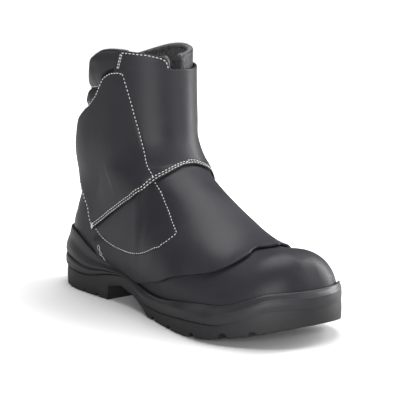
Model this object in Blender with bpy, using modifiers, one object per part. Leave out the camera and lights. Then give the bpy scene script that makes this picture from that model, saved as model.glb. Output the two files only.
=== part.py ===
"""Foundry boot for the right foot: a hollow pull-on upper with a wide covering flap, on a two-layer lugged sole.

Built in a frame whose x runs from the back of the heel to the toe and whose z is the height over the floor, with the
outer side of the foot at -y. Every object is then moved so that the origin is the centre of the heel's flat rest.
"""

import math

import bmesh
import bpy
import numpy as np

# Driving sizes, in metres
LENGTH = 0.306
BALL_WIDTH = 0.112
COLLAR_HEIGHT = 0.209
SOLE_HEIGHT = 0.052
WALL = 0.0026
FLAP = 0.0022
SLACK = 0.0012
GAP = 0.0003
LIP = 0.0022
INSOLE = 0.004
PADDING = 0.0048
TOE_SWING = 0.0085
SOLE_SWING = 0.010
CREST = 0.0085
WING_RISE = 0.0055
LAP = 0.026
TUCK = 0.0040
SHELF = 0.0015
CORE = 0.0028
REST_X = 0.13 * LENGTH

# Points round each closed outline, x / LENGTH of the step at the heel's front, and the upper's rows of points
ROUND = 52
BREAST = (0.283, 0.290)
LOW_ROWS = np.linspace(0, 0.44, 9)
BEND_ROWS = np.linspace(0.48, 0.72, 9)
SHAFT_ROWS = np.linspace(0.79, 1, 4)

# Squareness of the curves: toe in plan, arch over the foot, ankle oval
TOE_PLAN = 3.3
ARCH_UP = 2.4
ARCH_OUT = 2.1
OVAL = 2.2

# Toe box, as shares of LENGTH
TOE_START = 0.784
TOE_END = 0.9837
INSTEP_END = 0.517
ANKLE_FRONT = 0.470

# Half width of the foot's widest level: x / LENGTH, outer / BALL_WIDTH, inner / BALL_WIDTH
FOOT_WIDTH = np.array([
    (0.000, 0.277, 0.268),
    (0.131, 0.290, 0.277),
    (0.278, 0.308, 0.286),
    (0.425, 0.353, 0.295),
    (0.556, 0.429, 0.339),
    (0.670, 0.478, 0.402),
    (0.784, 0.482, 0.433),
    (0.882, 0.451, 0.438),
    (0.984, 0.402, 0.411),
])

# Bed of the foot, where the upper's lower edge lies: x / LENGTH, z / SOLE_HEIGHT
BED = np.array([
    (0.000, 0.558),
    (0.196, 0.538),
    (0.294, 0.510),
    (0.353, 0.471),
    (0.457, 0.327),
    (0.539, 0.279),
    (0.621, 0.273),
    (0.686, 0.279),
    (0.784, 0.298),
    (0.869, 0.375),
    (0.948, 0.500),
    (0.984, 0.558),
])

# Line over the instep and the toe: x / LENGTH, share of the height from the heel's bed to the collar
INSTEP = np.array([
    (0.327, 0.950),
    (0.409, 0.803),
    (0.444, 0.698),
    (0.456, 0.573),
    (0.492, 0.486),
    (0.535, 0.438),
    (0.582, 0.396),
    (0.654, 0.324),
    (0.703, 0.275),
    (0.758, 0.234),
    (0.804, 0.220),
    (0.850, 0.227),
    (0.899, 0.252),
    (0.984, 0.287),
])

# Levels of the upper from the bed to the collar: front x / LENGTH, front height share, back x / LENGTH, back height
# share, dip behind the toe / COLLAR_HEIGHT, share of ankle oval, outer and inner half width of that oval /
# BALL_WIDTH, reach of the heel's rounding / LENGTH
LEVELS = np.array([
    (0.9837, 0.000, 0.046, 0.000, 0.000, 0.00, 0.304, 0.304, 0.118),
    (0.9810, 0.072, 0.034, 0.039, 0.004, 0.00, 0.304, 0.304, 0.118),
    (0.9670, 0.156, 0.031, 0.078, 0.008, 0.00, 0.304, 0.304, 0.118),
    (0.9350, 0.216, 0.033, 0.116, 0.018, 0.00, 0.304, 0.304, 0.118),
    (0.8760, 0.229, 0.036, 0.156, 0.032, 0.00, 0.304, 0.304, 0.118),
    (0.8040, 0.220, 0.042, 0.194, 0.014, 0.00, 0.313, 0.313, 0.118),
    (0.7290, 0.258, 0.056, 0.256, 0.000, 0.05, 0.321, 0.321, 0.121),
    (0.6540, 0.324, 0.069, 0.316, 0.000, 0.20, 0.335, 0.330, 0.124),
    (0.5780, 0.401, 0.080, 0.383, 0.000, 0.45, 0.344, 0.339, 0.131),
    (0.4880, 0.481, 0.091, 0.461, 0.000, 0.75, 0.350, 0.342, 0.144),
    (0.4560, 0.576, 0.103, 0.555, 0.000, 0.95, 0.350, 0.344, 0.150),
    (0.4440, 0.705, 0.120, 0.667, 0.000, 1.00, 0.342, 0.342, 0.155),
    (0.4380, 0.850, 0.145, 0.794, 0.000, 1.00, 0.333, 0.336, 0.155),
    (0.4370, 0.994, 0.162, 0.944, 0.000, 1.00, 0.327, 0.333, 0.150),
])

# Outline of the sole: x / LENGTH, outer and inner half width / BALL_WIDTH
SOLE_PLAN = np.array([
    (0.000, 0.000, 0.000),
    (0.030, 0.203, 0.203),
    (0.080, 0.286, 0.286),
    (0.160, 0.326, 0.321),
    (0.280, 0.330, 0.317),
    (0.420, 0.362, 0.317),
    (0.550, 0.433, 0.366),
    (0.680, 0.512, 0.450),
    (0.780, 0.538, 0.472),
    (0.870, 0.484, 0.446),
    (0.940, 0.372, 0.346),
    (0.980, 0.219, 0.200),
    (1.000, 0.000, 0.000),
])

# Heights of the sole: x / LENGTH, then underside, core, parting line and rim / SOLE_HEIGHT
SOLE_SIDE = np.array([
    (0.000, 0.000, 0.269, 0.317, 1.000),
    (0.050, 0.000, 0.269, 0.315, 0.985),
    (0.092, 0.000, 0.269, 0.308, 0.965),
    (0.122, 0.000, 0.271, 0.302, 0.890),
    (0.155, 0.000, 0.275, 0.298, 0.788),
    (0.190, 0.000, 0.283, 0.308, 0.695),
    (0.240, 0.000, 0.308, 0.362, 0.640),
    (0.283, 0.000, 0.340, 0.420, 0.606),
    (0.290, 0.231, 0.346, 0.426, 0.600),
    (0.355, 0.310, 0.388, 0.475, 0.543),
    (0.420, 0.231, 0.292, 0.370, 0.433),
    (0.455, 0.154, 0.221, 0.262, 0.404),
    (0.485, 0.071, 0.173, 0.194, 0.388),
    (0.510, 0.000, 0.148, 0.175, 0.385),
    (0.580, 0.000, 0.135, 0.185, 0.400),
    (0.660, 0.000, 0.135, 0.231, 0.465),
    (0.700, 0.002, 0.137, 0.250, 0.495),
    (0.780, 0.036, 0.163, 0.277, 0.540),
    (0.834, 0.085, 0.202, 0.295, 0.572),
    (0.880, 0.138, 0.250, 0.385, 0.635),
    (0.920, 0.190, 0.300, 0.500, 0.735),
    (0.955, 0.250, 0.350, 0.585, 0.820),
    (1.000, 0.325, 0.410, 0.600, 0.835),
])

# Side of the middle sole: share of the height from parting line to rim, outset at the heel and at the forefoot / LIP,
# share of the way in to the upper
MIDSOLE_SIDE = np.array([
    (0.00, -0.10, -0.10, 0.00),
    (0.05, 0.42, 0.42, 0.00),
    (0.17, 0.64, 0.64, 0.00),
    (0.28, 0.42, 0.38, 0.00),
    (0.32, -0.30, 0.06, 0.02),
    (0.37, 0.46, 0.12, 0.05),
    (0.50, 0.66, 0.26, 0.12),
    (0.64, 0.30, 0.36, 0.24),
    (0.80, -0.20, 0.30, 0.55),
    (0.94, 0.00, 0.10, 0.90),
    (1.00, 0.00, 0.00, 1.00),
])

# Grooves under the sole: x / LENGTH, half width / LENGTH
GROOVES = np.array([
    (0.075, 0.0085),
    (0.177, 0.0085),
    (0.237, 0.0085),
    (0.545, 0.0105),
    (0.644, 0.0105),
    (0.752, 0.0115),
    (0.853, 0.0125),
    (0.922, 0.0095),
])

# Edges of the flap: share along the edge, level share, angle in degrees from the heel round the outer side
SHAFT_LOWER = np.array([
    (0.000, 0.335, 53.0),
    (0.089, 0.466, 70.0),
    (0.194, 0.547, 90.0),
    (0.332, 0.621, 116.5),
    (0.445, 0.662, 138.0),
    (0.571, 0.697, 162.0),
    (0.665, 0.712, 180.0),
    (0.749, 0.700, 196.0),
    (0.885, 0.648, 222.0),
    (1.000, 0.590, 244.0),
])
SHAFT_UPPER = np.array([
    (0.000, 0.866, 60.5),
    (0.090, 0.891, 77.0),
    (0.145, 0.916, 87.0),
    (0.200, 0.940, 97.5),
    (0.262, 0.953, 108.5),
    (0.283, 0.957, 112.5),
    (0.295, 0.996, 114.5),
    (0.357, 0.996, 126.0),
    (0.460, 0.996, 145.0),
    (0.537, 0.996, 159.0),
    (0.572, 0.988, 165.5),
    (0.594, 0.972, 169.5),
    (0.673, 0.967, 184.0),
    (0.847, 0.962, 216.0),
    (1.000, 0.962, 244.0),
])
SHAFT_REAR = np.array([
    (0.00, 0.335, 53.0),
    (0.20, 0.430, 54.0),
    (0.38, 0.527, 50.0),
    (0.58, 0.645, 42.0),
    (0.80, 0.770, 41.0),
    (0.91, 0.830, 46.0),
    (1.00, 0.866, 60.5),
])
INSTEP_LOWER = np.array([
    (0.000, 0.040, 60.5),
    (0.050, 0.037, 72.5),
    (0.098, 0.050, 84.0),
    (0.134, 0.080, 92.5),
    (0.169, 0.107, 101.0),
    (0.198, 0.138, 108.0),
    (0.236, 0.160, 117.0),
    (0.280, 0.182, 127.5),
    (0.307, 0.210, 134.0),
    (0.335, 0.250, 141.5),
    (0.374, 0.300, 151.0),
    (0.420, 0.345, 161.0),
    (0.456, 0.362, 169.0),
    (0.490, 0.356, 178.0),
    (0.528, 0.352, 187.0),
    (0.574, 0.356, 198.0),
    (0.620, 0.335, 209.0),
    (0.670, 0.275, 221.0),
    (0.741, 0.180, 238.0),
    (0.816, 0.100, 256.0),
    (1.000, 0.040, 300.0),
])

# Rear edge of the flap: share up the edge, how far it stands off / WING_RISE
WING = np.array([
    (0.00, 0.00),
    (0.20, 0.25),
    (0.38, 0.45),
    (0.58, 0.55),
    (0.78, 1.00),
    (0.90, 1.00),
    (1.00, 0.50),
])

# Padded rear collar: level share, thickness / PADDING
PAD_SECTION = np.array([
    (0.860, 0.15),
    (0.874, 0.55),
    (0.893, 0.70),
    (0.912, 0.55),
    (0.922, 0.16),
    (0.932, 0.60),
    (0.950, 0.95),
    (0.972, 1.00),
    (0.988, 0.80),
    (0.997, 0.35),
])
PAD_END = 109.0

MATERIALS = {
    "leather": ((0.030, 0.030, 0.032, 1.0), 0.48),
    "padding": ((0.034, 0.034, 0.036, 1.0), 0.52),
    "midsole": ((0.028, 0.028, 0.030, 1.0), 0.55),
    "outsole": ((0.022, 0.022, 0.024, 1.0), 0.60),
    "insole": ((0.060, 0.060, 0.064, 1.0), 0.90),
}


def column(table, x, index=1):
    """Smooth curve through one column of a table whose first column rises."""
    xs, ys = table[:, 0], table[:, index]
    x = np.clip(x, xs[0], xs[-1])
    row = np.clip(np.searchsorted(xs, x) - 1, 0, len(xs) - 2)
    step, slope = np.diff(xs), np.diff(ys) / np.diff(xs)
    tangent = np.empty(len(xs))
    tangent[0], tangent[-1] = slope[0], slope[-1]
    tangent[1:-1] = (slope[:-1] * step[1:] + slope[1:] * step[:-1]) / (step[1:] + step[:-1])
    flat = np.zeros(len(xs), bool)
    flat[1:-1] = slope[:-1] * slope[1:] <= 0
    tangent[flat] = 0
    least = 3 * np.minimum(np.abs(slope[:-1]), np.abs(slope[1:]))
    tangent[1:-1] = np.clip(tangent[1:-1], -least, least)
    t = (x - xs[row]) / step[row]
    start, end = ys[row], ys[row + 1]
    lift = start + (end - start) * t * t * (3 - 2 * t)
    return lift + step[row] * (1 - t) * t * (tangent[row] * (1 - t) - tangent[row + 1] * t)


def smooth(low, high, x):
    """0 below low, 1 above high, with a soft step between them."""
    t = np.clip((x - low) / (high - low), 0, 1)
    return t * t * (3 - 2 * t)


def swing(x):
    """How far the toe's middle line leans to the inner side."""
    return TOE_SWING * np.clip((x / LENGTH - 0.588) / 0.392, 0, 1) ** 2


def bed(x):
    return SOLE_HEIGHT * column(BED, x / LENGTH)


def height(share):
    """Height for a share of the way from the heel's bed to the collar."""
    return SOLE_HEIGHT * BED[0, 1] * (1 - share) + COLLAR_HEIGHT * share


def dorsal(x):
    """Height of the line over instep and toe."""
    toe = np.clip((x / LENGTH - TOE_START) / (TOE_END - TOE_START), 0, 1)
    fall = (1 - toe**TOE_PLAN) ** (1 / ARCH_UP)
    return bed(x) + (height(column(INSTEP, x / LENGTH)) - bed(x)) * fall


def foot_half(x, z, outer):
    """Half width of the foot's part of the upper at one point of its middle plane."""
    share = x / LENGTH
    wide = BALL_WIDTH * np.where(outer, column(FOOT_WIDTH, share, 1), column(FOOT_WIDTH, share, 2))
    toe = np.clip((share - TOE_START) / (TOE_END - TOE_START), 0, 1)
    top = height(column(INSTEP, share))
    rise = np.clip((z - bed(x)) / (top - bed(x)), 0, 1)
    return wide * np.clip(1 - toe**TOE_PLAN - rise**ARCH_UP, 0, 1) ** (1 / ARCH_OUT)


def skin(level, angle, out=0.0):
    """Outer surface of the upper: level 0 at the bed to 1 at the collar, angle from the heel round the outer side."""
    level, angle = np.broadcast_arrays(np.asarray(level, float), np.asarray(angle, float))
    if np.any(out):
        return skin(level, angle) + np.asarray(out)[..., None] * outward(level, angle)
    rows = np.linspace(0, 1, len(LEVELS))
    table = np.column_stack([rows, LEVELS])
    front, front_z, back, back_z, dip, oval, outer_half, inner_half, heel = (
        column(table, level, 1 + index) for index in range(9)
    )
    along = (1 - np.cos(angle)) / 2
    outer = np.sin(angle) >= 0
    front, back, heel = front * LENGTH, back * LENGTH, heel * LENGTH
    own_z = dorsal(front)
    on_foot = smooth(ANKLE_FRONT, INSTEP_END, front / LENGTH)
    front_z = own_z * on_foot + height(front_z) * (1 - on_foot)
    back_z = height(back_z)
    x = back + (front - back) * along
    line = back_z + (front_z - back_z) * along - COLLAR_HEIGHT * dip * 12 * along**4 * (1 - along)
    sag = np.clip(1 - level / 0.4, 0, 1) ** 2
    crest = CREST * 4 * along * (1 - along) * np.clip((level - 0.72) / 0.28, 0, 1) ** 2
    z = line + (bed(x) - height(0)) * sag + crest
    from_back = np.clip((x - back) / heel, 0, 1)
    half = foot_half(x, z, outer) * (1 - (1 - from_back) ** OVAL) ** (1 / OVAL)
    wide = BALL_WIDTH * np.where(outer, outer_half, inner_half)
    ankle = wide * np.clip(1 - np.abs(2 * along - 1) ** OVAL, 0, 1) ** (1 / OVAL)
    half = half * (1 - oval) + ankle * oval
    half = np.maximum(half - TUCK * np.clip(1 - level / 0.12, 0, 1) ** 2 * np.abs(np.sin(angle)), 0)
    return np.stack([x, swing(x) + np.where(outer, -half, half), z], -1)


def outward(level, angle):
    """Unit normal of the upper's outer surface."""
    step = 2e-3
    low, high = np.clip(level - step, 0, 1), np.clip(level + step, 0, 1)
    round_it = skin(level, angle + step) - skin(level, angle - step)
    up_it = skin(high, angle) - skin(low, angle)
    normal = np.cross(round_it, up_it)
    return normal / np.linalg.norm(normal, axis=-1, keepdims=True)


def level_at(height_of_x, angle):
    """Level share at which the upper meets a height given along its length."""
    shares = np.linspace(0, 0.6, 121)
    points = skin(shares[:, None], angle[None, :])
    above = points[..., 2] - height_of_x(points[..., 0])
    first = np.clip((above > 0).argmax(axis=0), 1, None)
    columns = np.arange(len(angle))
    low, high = above[first - 1, columns], above[first, columns]
    share = np.clip(low / (low - high), 0, 1)
    return np.clip(shares[first - 1] + share * (shares[1] - shares[0]), 0, 1)


def sole_height(x, which):
    """Height of the sole: which is 1 for its underside, 2 core, 3 parting line, 4 rim."""
    return SOLE_HEIGHT * column(SOLE_SIDE, np.clip(x / LENGTH, 0, 1), which)


def underside(x):
    """Height of the underside, with its step at the heel's front kept sharp."""
    return SOLE_HEIGHT * np.interp(x / LENGTH, SOLE_SIDE[:, 0], SOLE_SIDE[:, 1])


def rim(x):
    return sole_height(x, 4)


def ring_angles(count, extra=()):
    """Angles round a closed outline, the same on both sides, with the extra lengths met exactly."""
    half = np.linspace(0, math.pi, count // 2 + 1)
    for angle in np.arccos(1 - 2 * np.array(extra)):
        half = half[np.abs(half - angle) > 0.4 * half[1]]
    half = np.union1d(half, np.arccos(1 - 2 * np.array(extra)))
    return np.concatenate([half, 2 * math.pi - half[-2:0:-1]])


def sole_outline(angle, out=0.0):
    """Plan of the sole, moved out along its own normal."""

    def plan(a):
        along = (1 - np.cos(a)) / 2
        turned = SOLE_PLAN.copy()
        turned[:, 0] = np.arccos(1 - 2 * SOLE_PLAN[:, 0])
        at = np.arccos(np.clip(1 - 2 * along, -1, 1))
        outer = np.sin(a) >= 0
        half = BALL_WIDTH * np.where(outer, column(turned, at, 1), column(turned, at, 2))
        middle = SOLE_SWING * np.clip((along - 0.6) / 0.4, 0, 1) ** 2
        return np.stack([LENGTH * along, middle + np.where(outer, -half, half)], -1)

    step = 1e-3
    tangent = plan(angle + step) - plan(angle - step)
    normal = np.stack([tangent[..., 1], -tangent[..., 0]], -1)
    normal /= np.linalg.norm(normal, axis=-1, keepdims=True)
    return plan(angle) + normal * np.broadcast_to(out, angle.shape)[..., None]


def add_mesh(name, points, faces, collection, slot=None):
    """A named object from points and faces, shaded smooth, in the row's own frame."""
    mesh = bpy.data.meshes.new(name)
    mesh.from_pydata([tuple(point) for point in points], [], [tuple(face) for face in faces])
    mesh.validate()
    made = bpy.data.objects.new(name, mesh)
    made.location = (-REST_X, 0, 0)
    collection.objects.link(made)
    if slot:
        mesh.materials.append(bpy.data.materials[slot])
    mesh.shade_smooth()
    return made


def strip_cap(start, count, upward):
    """Faces across a ring, from each point to the one opposite it."""
    faces = []
    for index in range(count // 2):
        one, two = index, index + 1
        across, next_across = (count - index) % count, count - index - 1
        corners = [start + one, start + two, start + next_across, start + across]
        corners = list(dict.fromkeys(corners))
        faces.append(corners if upward else corners[::-1])
    return faces


def ring_solid(name, rings, collection, slot=None):
    """A closed solid from rings of equal count, lowest first, capped at both ends."""
    count = len(rings[0])
    points = np.concatenate(rings)
    faces = strip_cap(0, count, False)
    for row in range(len(rings) - 1):
        for index in range(count):
            after = (index + 1) % count
            low, high = row * count, (row + 1) * count
            faces.append((low + index, low + after, high + after, high + index))
    faces += strip_cap((len(rings) - 1) * count, count, True)
    return add_mesh(name, points, faces, collection, slot)


def shell_patch(name, inside, outside, collection, slot):
    """A closed sheet between two grids of the same size."""
    rows, columns = inside.shape[:2]
    points = np.concatenate([inside.reshape(-1, 3), outside.reshape(-1, 3)])
    second = rows * columns
    faces = []
    for row in range(rows - 1):
        for index in range(columns - 1):
            one = row * columns + index
            quad = (one, one + 1, one + columns + 1, one + columns)
            faces.append(tuple(second + corner for corner in quad))
            faces.append(quad[::-1])
    edge = list(range(columns))
    edge += [row * columns + columns - 1 for row in range(1, rows)]
    edge += [(rows - 1) * columns + index for index in range(columns - 2, -1, -1)]
    edge += [row * columns for row in range(rows - 2, 0, -1)]
    for one, two in zip(edge, edge[1:] + edge[:1]):
        faces.append((one, two, second + two, second + one))
    return add_mesh(name, points, faces, collection, slot)


def cut(target, cutter):
    """Takes the cutter's form out of the target."""
    boolean = target.modifiers.new("cut " + cutter.name, "BOOLEAN")
    boolean.operation = "DIFFERENCE"
    boolean.solver = "EXACT"
    boolean.object = cutter
    cutter.hide_render = True
    cutter.display_type = "WIRE"


def edge_points(table, share):
    """Level share and angle along an edge table."""
    return np.stack([column(table, share, 1), column(table, share, 2)], -1)


def patch(lower, upper, rear, across, up):
    """Level share and angle over a panel: ruled from its lower to its upper edge, with its rear edge's own curve."""
    p, q = np.meshgrid(across, up)
    p, q = p[..., None], q[..., None]
    bottom, top = edge_points(lower, across)[None], edge_points(upper, across)[None]
    chord = bottom[:, :1] * (1 - q) + top[:, :1] * q
    curve = edge_points(rear, up)[:, None] - chord
    grid = bottom * (1 - q) + top * q + curve * (1 - p) ** 4
    return grid[..., 0], np.radians(grid[..., 1])


def spread(count, kept):
    """Even shares from 0 to 1, with the kept ones met exactly and none crowded beside them."""
    even = np.linspace(0, 1, count)
    clear = np.abs(even[:, None] - np.asarray(kept)[None, :]).min(axis=1) > 0.45 / (count - 1)
    return np.union1d(even[clear], kept)


def flap_panel(name, level, angle, lift, collection):
    """A flap of even thickness that lies loosely over the upper, lifted off it where lift says."""
    inside = skin(level, angle, SLACK + lift)
    outside = skin(level, angle, SLACK + FLAP + lift)
    return shell_patch(name, inside, outside, collection, "leather")


def build_outsole(parts, tools):
    angle = ring_angles(ROUND, BREAST)
    plan = sole_outline(angle)
    low, part = underside(plan[:, 0]), sole_height(plan[:, 0], 3)

    def ring(out, height):
        return np.column_stack([sole_outline(angle, out), height])

    rings = [
        ring(-0.5 * LIP, low),
        ring(0.0, low + 0.5 * LIP),
        ring(0.15 * LIP, low + 0.7 * (part - low)),
        ring(0.0, part - 0.25 * LIP),
        ring(-0.35 * LIP, part),
        ring(-SHELF, part),
        ring(-CORE, sole_height(plan[:, 0], 2)),
    ]
    outsole = ring_solid("outsole", rings, parts, "outsole")
    for number, (share, half) in enumerate(GROOVES):
        bpy.ops.mesh.primitive_cylinder_add(
            vertices=12,
            radius=half * LENGTH,
            depth=1.5 * BALL_WIDTH,
            location=(share * LENGTH - REST_X, 0, underside(share * LENGTH) - 2 * GAP),
            rotation=(math.pi / 2, 0, 0),
        )
        groove = bpy.context.object
        groove.name = f"groove_{number}"
        groove.scale = (1, 1.35, 1)
        move_to(groove, tools)
        cut(outsole, groove)


def move_to(made, collection):
    for owner in list(made.users_collection):
        owner.objects.unlink(made)
    collection.objects.link(made)


def build_midsole(parts, tools):
    angle = ring_angles(ROUND, BREAST)
    plan = sole_outline(angle)
    x = plan[:, 0]
    part, top = sole_height(x, 3), rim(x)
    level = level_at(rim, angle)
    meet = skin(level, angle)
    normal = outward(level, angle)
    flat = normal[:, :2] / np.linalg.norm(normal[:, :2], axis=1, keepdims=True)
    lip = meet[:, :2] + flat * (GAP + LIP)
    heel = 1 - smooth(0.24, 0.42, x / LENGTH)
    rings = [
        np.column_stack([sole_outline(angle, -CORE - 2 * GAP), sole_height(x, 2) + GAP]),
        np.column_stack([sole_outline(angle, -SHELF - 2 * GAP), part + GAP]),
    ]
    for share, at_heel, at_front, inward in MIDSOLE_SIDE:
        out = LIP * (at_heel * heel + at_front * (1 - heel))
        side = sole_outline(angle, out) * (1 - inward) + lip * inward
        height = part + GAP + (top - part - GAP) * share
        rings.append(np.column_stack([side, height]))
    midsole = ring_solid("midsole", rings, parts, "midsole")
    form = [skin(row, angle, np.full(angle.shape, GAP)) for row in LOW_ROWS]
    form[0][:, 2] = bed(form[0][:, 0]) - 2 * GAP
    cut(midsole, ring_solid("foot_form", form, tools))


def build_insole(parts):
    angle = ring_angles(ROUND, BREAST)
    edge = skin(0.0, angle)
    normal = outward(np.zeros(len(angle)), angle)
    flat = normal[:, :2] / np.linalg.norm(normal[:, :2], axis=1, keepdims=True)
    plan = edge[:, :2] - flat * (WALL + 2.5 * GAP)
    height = bed(plan[:, 0])
    soft = plan - flat * 0.3 * INSOLE
    rings = [
        np.column_stack([plan, height]),
        np.column_stack([plan, height + 0.7 * INSOLE]),
        np.column_stack([soft, height + INSOLE]),
    ]
    ring_solid("insole", rings, parts, "insole")


def build_upper(parts, tools):
    angle = ring_angles(ROUND, BREAST)
    levels = np.concatenate([LOW_ROWS, BEND_ROWS, SHAFT_ROWS])
    points = np.concatenate([skin(level, angle) for level in levels])
    count = len(angle)
    faces = []
    for row in range(len(levels) - 1):
        for index in range(count):
            after = (index + 1) % count
            low, high = row * count, (row + 1) * count
            faces.append((low + index, low + after, high + after, high + index))
    upper = add_mesh("upper", points, faces, parts, "leather")
    wall = upper.modifiers.new("wall", "SOLIDIFY")
    wall.thickness = WALL
    wall.offset = -1
    wall.use_even_offset = True
    cut(upper, throat_cutter(tools))


def throat_cutter(tools):
    """Form of the throat's opening, seen from the front and drawn through the front wall only."""
    near, far = -0.056 * BALL_WIDTH, 0.091 * BALL_WIDTH
    low, high = 0.74 * COLLAR_HEIGHT, 1.2 * COLLAR_HEIGHT
    corner, corner_z = 0.07 * BALL_WIDTH, 0.965 * COLLAR_HEIGHT
    middle, radius = (near + far) / 2, (far - near) / 2
    outline = [(near, corner_z)]
    for turn in np.linspace(math.pi, 2 * math.pi, 9):
        outline.append((middle + radius * math.cos(turn), low + radius * math.sin(turn)))
    outline += [(far, high), (near - corner, high)]
    for turn in np.linspace(math.pi / 2, 0, 6)[:-1]:
        outline.append((near - corner + corner * math.cos(turn), corner_z + corner * math.sin(turn)))
    return extrude_front("throat_form", outline, tools)


def extrude_front(name, outline, tools):
    """A filled outline in the y-z plane, drawn along x through the shaft's front wall."""
    curve = bpy.data.curves.new(name, "CURVE")
    curve.dimensions = "2D"
    curve.fill_mode = "BOTH"
    curve.extrude = 0.13 * LENGTH / 2
    spline = curve.splines.new("POLY")
    spline.points.add(len(outline) - 1)
    for point, (y, z) in zip(spline.points, outline):
        point.co = (y, z, 0, 1)
    spline.use_cyclic_u = True
    shape = bpy.data.objects.new(name + "_curve", curve)
    shape.rotation_euler = (math.pi / 2, 0, math.pi / 2)
    shape.location = (0.45 * LENGTH - REST_X, 0, 0)
    tools.objects.link(shape)
    graph = bpy.context.evaluated_depsgraph_get()
    mesh = bpy.data.meshes.new_from_object(shape.evaluated_get(graph))
    weld(mesh)
    solid = bpy.data.objects.new(name, mesh)
    solid.rotation_euler, solid.location = shape.rotation_euler, shape.location
    tools.objects.link(solid)
    bpy.data.objects.remove(shape)
    return solid


def weld(mesh):
    """Joins a curve's caps to its sides."""
    edited = bmesh.new()
    edited.from_mesh(mesh)
    bmesh.ops.remove_doubles(edited, verts=edited.verts, dist=0.0001)
    bmesh.ops.recalc_face_normals(edited, faces=edited.faces)
    edited.to_mesh(mesh)
    edited.free()


def build_collar_padding(parts):
    """Quilted rear collar: two rolls with a groove between them, wrapped round the back of the shaft."""
    angle = np.radians(np.linspace(-PAD_END, PAD_END, 31))
    wing = SHAFT_UPPER[:6, [2, 1]]
    lowest, high = PAD_SECTION[[0, -1], 0]
    low = np.where(np.degrees(angle) > wing[0, 0], column(wing, np.degrees(angle)) + 0.014, lowest)
    low = np.maximum(low, lowest + 0.018 * smooth(28, 44, np.degrees(angle)))
    share = ((PAD_SECTION[:, 0] - lowest) / (high - lowest))[:, None]
    level = low + (high - low) * share
    turned = np.broadcast_to(angle, level.shape)
    ends = 0.25 + 0.75 * smooth(0, 14, PAD_END - np.abs(np.degrees(turned)))
    edge = np.minimum(1, 0.25 + 6 * np.minimum(share, 1 - share))
    thick = PADDING * column(PAD_SECTION, level) * ends * edge
    inside = skin(level, turned, np.full(level.shape, 2 * GAP))
    outside = skin(level, turned, 2 * GAP + thick)
    shell_patch("collar_padding", inside, outside, parts, "padding")


def build_flap_shaft(parts):
    """The flap's tall panel: it laps over the lower panel, and its rear edge stands off the heel."""
    across = spread(25, SHAFT_UPPER[[0, 4, 5, 6, 10, 11, -1], 0])
    up = np.array([0, 0.05, 0.11, 0.17, 0.24, 0.34, 0.45, 0.56, 0.67, 0.78, 0.89, 1.0])
    level, angle = patch(SHAFT_LOWER, SHAFT_UPPER, SHAFT_REAR, across, up)
    near_rear = 1 - smooth(0, 0.25, across)[None, :]
    wing = WING_RISE * column(WING, up)[:, None] * near_rear
    lap = (FLAP + 2 * GAP) * (1 - smooth(0.11, 0.24, up))[:, None]
    flap_panel("flap_shaft", level, angle, np.maximum(wing, lap), parts)


def build_flap_instep(parts):
    """The flap's lower panel, from under the seam down to the sole's rim and the free front edge."""
    across = np.linspace(0, 1, 34)
    up = np.array([0, 0.14, 0.28, 0.42, 0.55, 0.67, 0.78, 0.87, 0.94, 1.0])
    beyond = [(1.10, 0.51, 272.0), (1.20, 0.41, 291.0), (1.26, 0.32, 302.0)]
    seam = np.concatenate([SHAFT_LOWER, beyond])
    seam[:, 0] /= seam[-1, 0]
    seam[:, 1] += LAP * (1 - seam[:, 0])
    lower = INSTEP_LOWER.copy()
    least = level_at(lambda x: rim(x) + 5 * GAP, np.radians(lower[:, 2])) + 0.004
    lower[:, 1] = np.maximum(lower[:, 1], least)
    rear = np.array([(0.0, lower[0, 1], 60.5), (0.35, 0.15, 58.0), (0.7, 0.26, 56.0), (1.0, seam[0, 1], 53.0)])
    level, angle = patch(lower, seam, rear, across, up)
    flap_panel("flap_instep", level, angle, np.zeros(level.shape), parts)


def add_materials():
    for name, (colour, rough) in MATERIALS.items():
        material = bpy.data.materials.new(name)
        material.use_nodes = True
        shader = material.node_tree.nodes["Principled BSDF"]
        shader.inputs["Base Color"].default_value = colour
        shader.inputs["Roughness"].default_value = rough


def main():
    for old in list(bpy.data.objects):
        bpy.data.objects.remove(old)
    parts = bpy.data.collections.new("foundry_boot")
    tools = bpy.data.collections.new("cutters")
    bpy.context.scene.collection.children.link(parts)
    bpy.context.scene.collection.children.link(tools)
    tools.hide_render = True
    add_materials()
    build_outsole(parts, tools)
    build_midsole(parts, tools)
    build_insole(parts)
    build_upper(parts, tools)
    build_collar_padding(parts)
    build_flap_shaft(parts)
    build_flap_instep(parts)


if __name__ == "__main__":
    main()
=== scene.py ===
"""Foundry boot for the right foot: leather, quilting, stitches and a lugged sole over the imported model.

Shapes are worked out with x from the heel's back to the toe, then moved to the origin of the frame.
"""

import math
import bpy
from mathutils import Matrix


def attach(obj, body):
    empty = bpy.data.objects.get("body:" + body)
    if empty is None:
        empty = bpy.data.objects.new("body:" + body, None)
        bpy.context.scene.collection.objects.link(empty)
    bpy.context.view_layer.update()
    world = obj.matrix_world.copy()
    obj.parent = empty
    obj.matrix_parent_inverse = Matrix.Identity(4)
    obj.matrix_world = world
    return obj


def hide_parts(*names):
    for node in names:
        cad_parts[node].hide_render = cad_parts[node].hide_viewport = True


bl_info = {
    "name": "Foundry boot",
    "version": (1, 0, 0),
    "blender": (4, 5, 0),
    "location": "View3D > Sidebar > Boot",
    "description": "Leather, quilting, stitches and sole of a foundry boot over its packed solids",
    "category": "Object",
}

import bpy
import numpy as np
from bpy.props import FloatProperty, FloatVectorProperty, IntProperty, PointerProperty
from mathutils import Vector, noise
from mathutils.bvhtree import BVHTree

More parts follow.
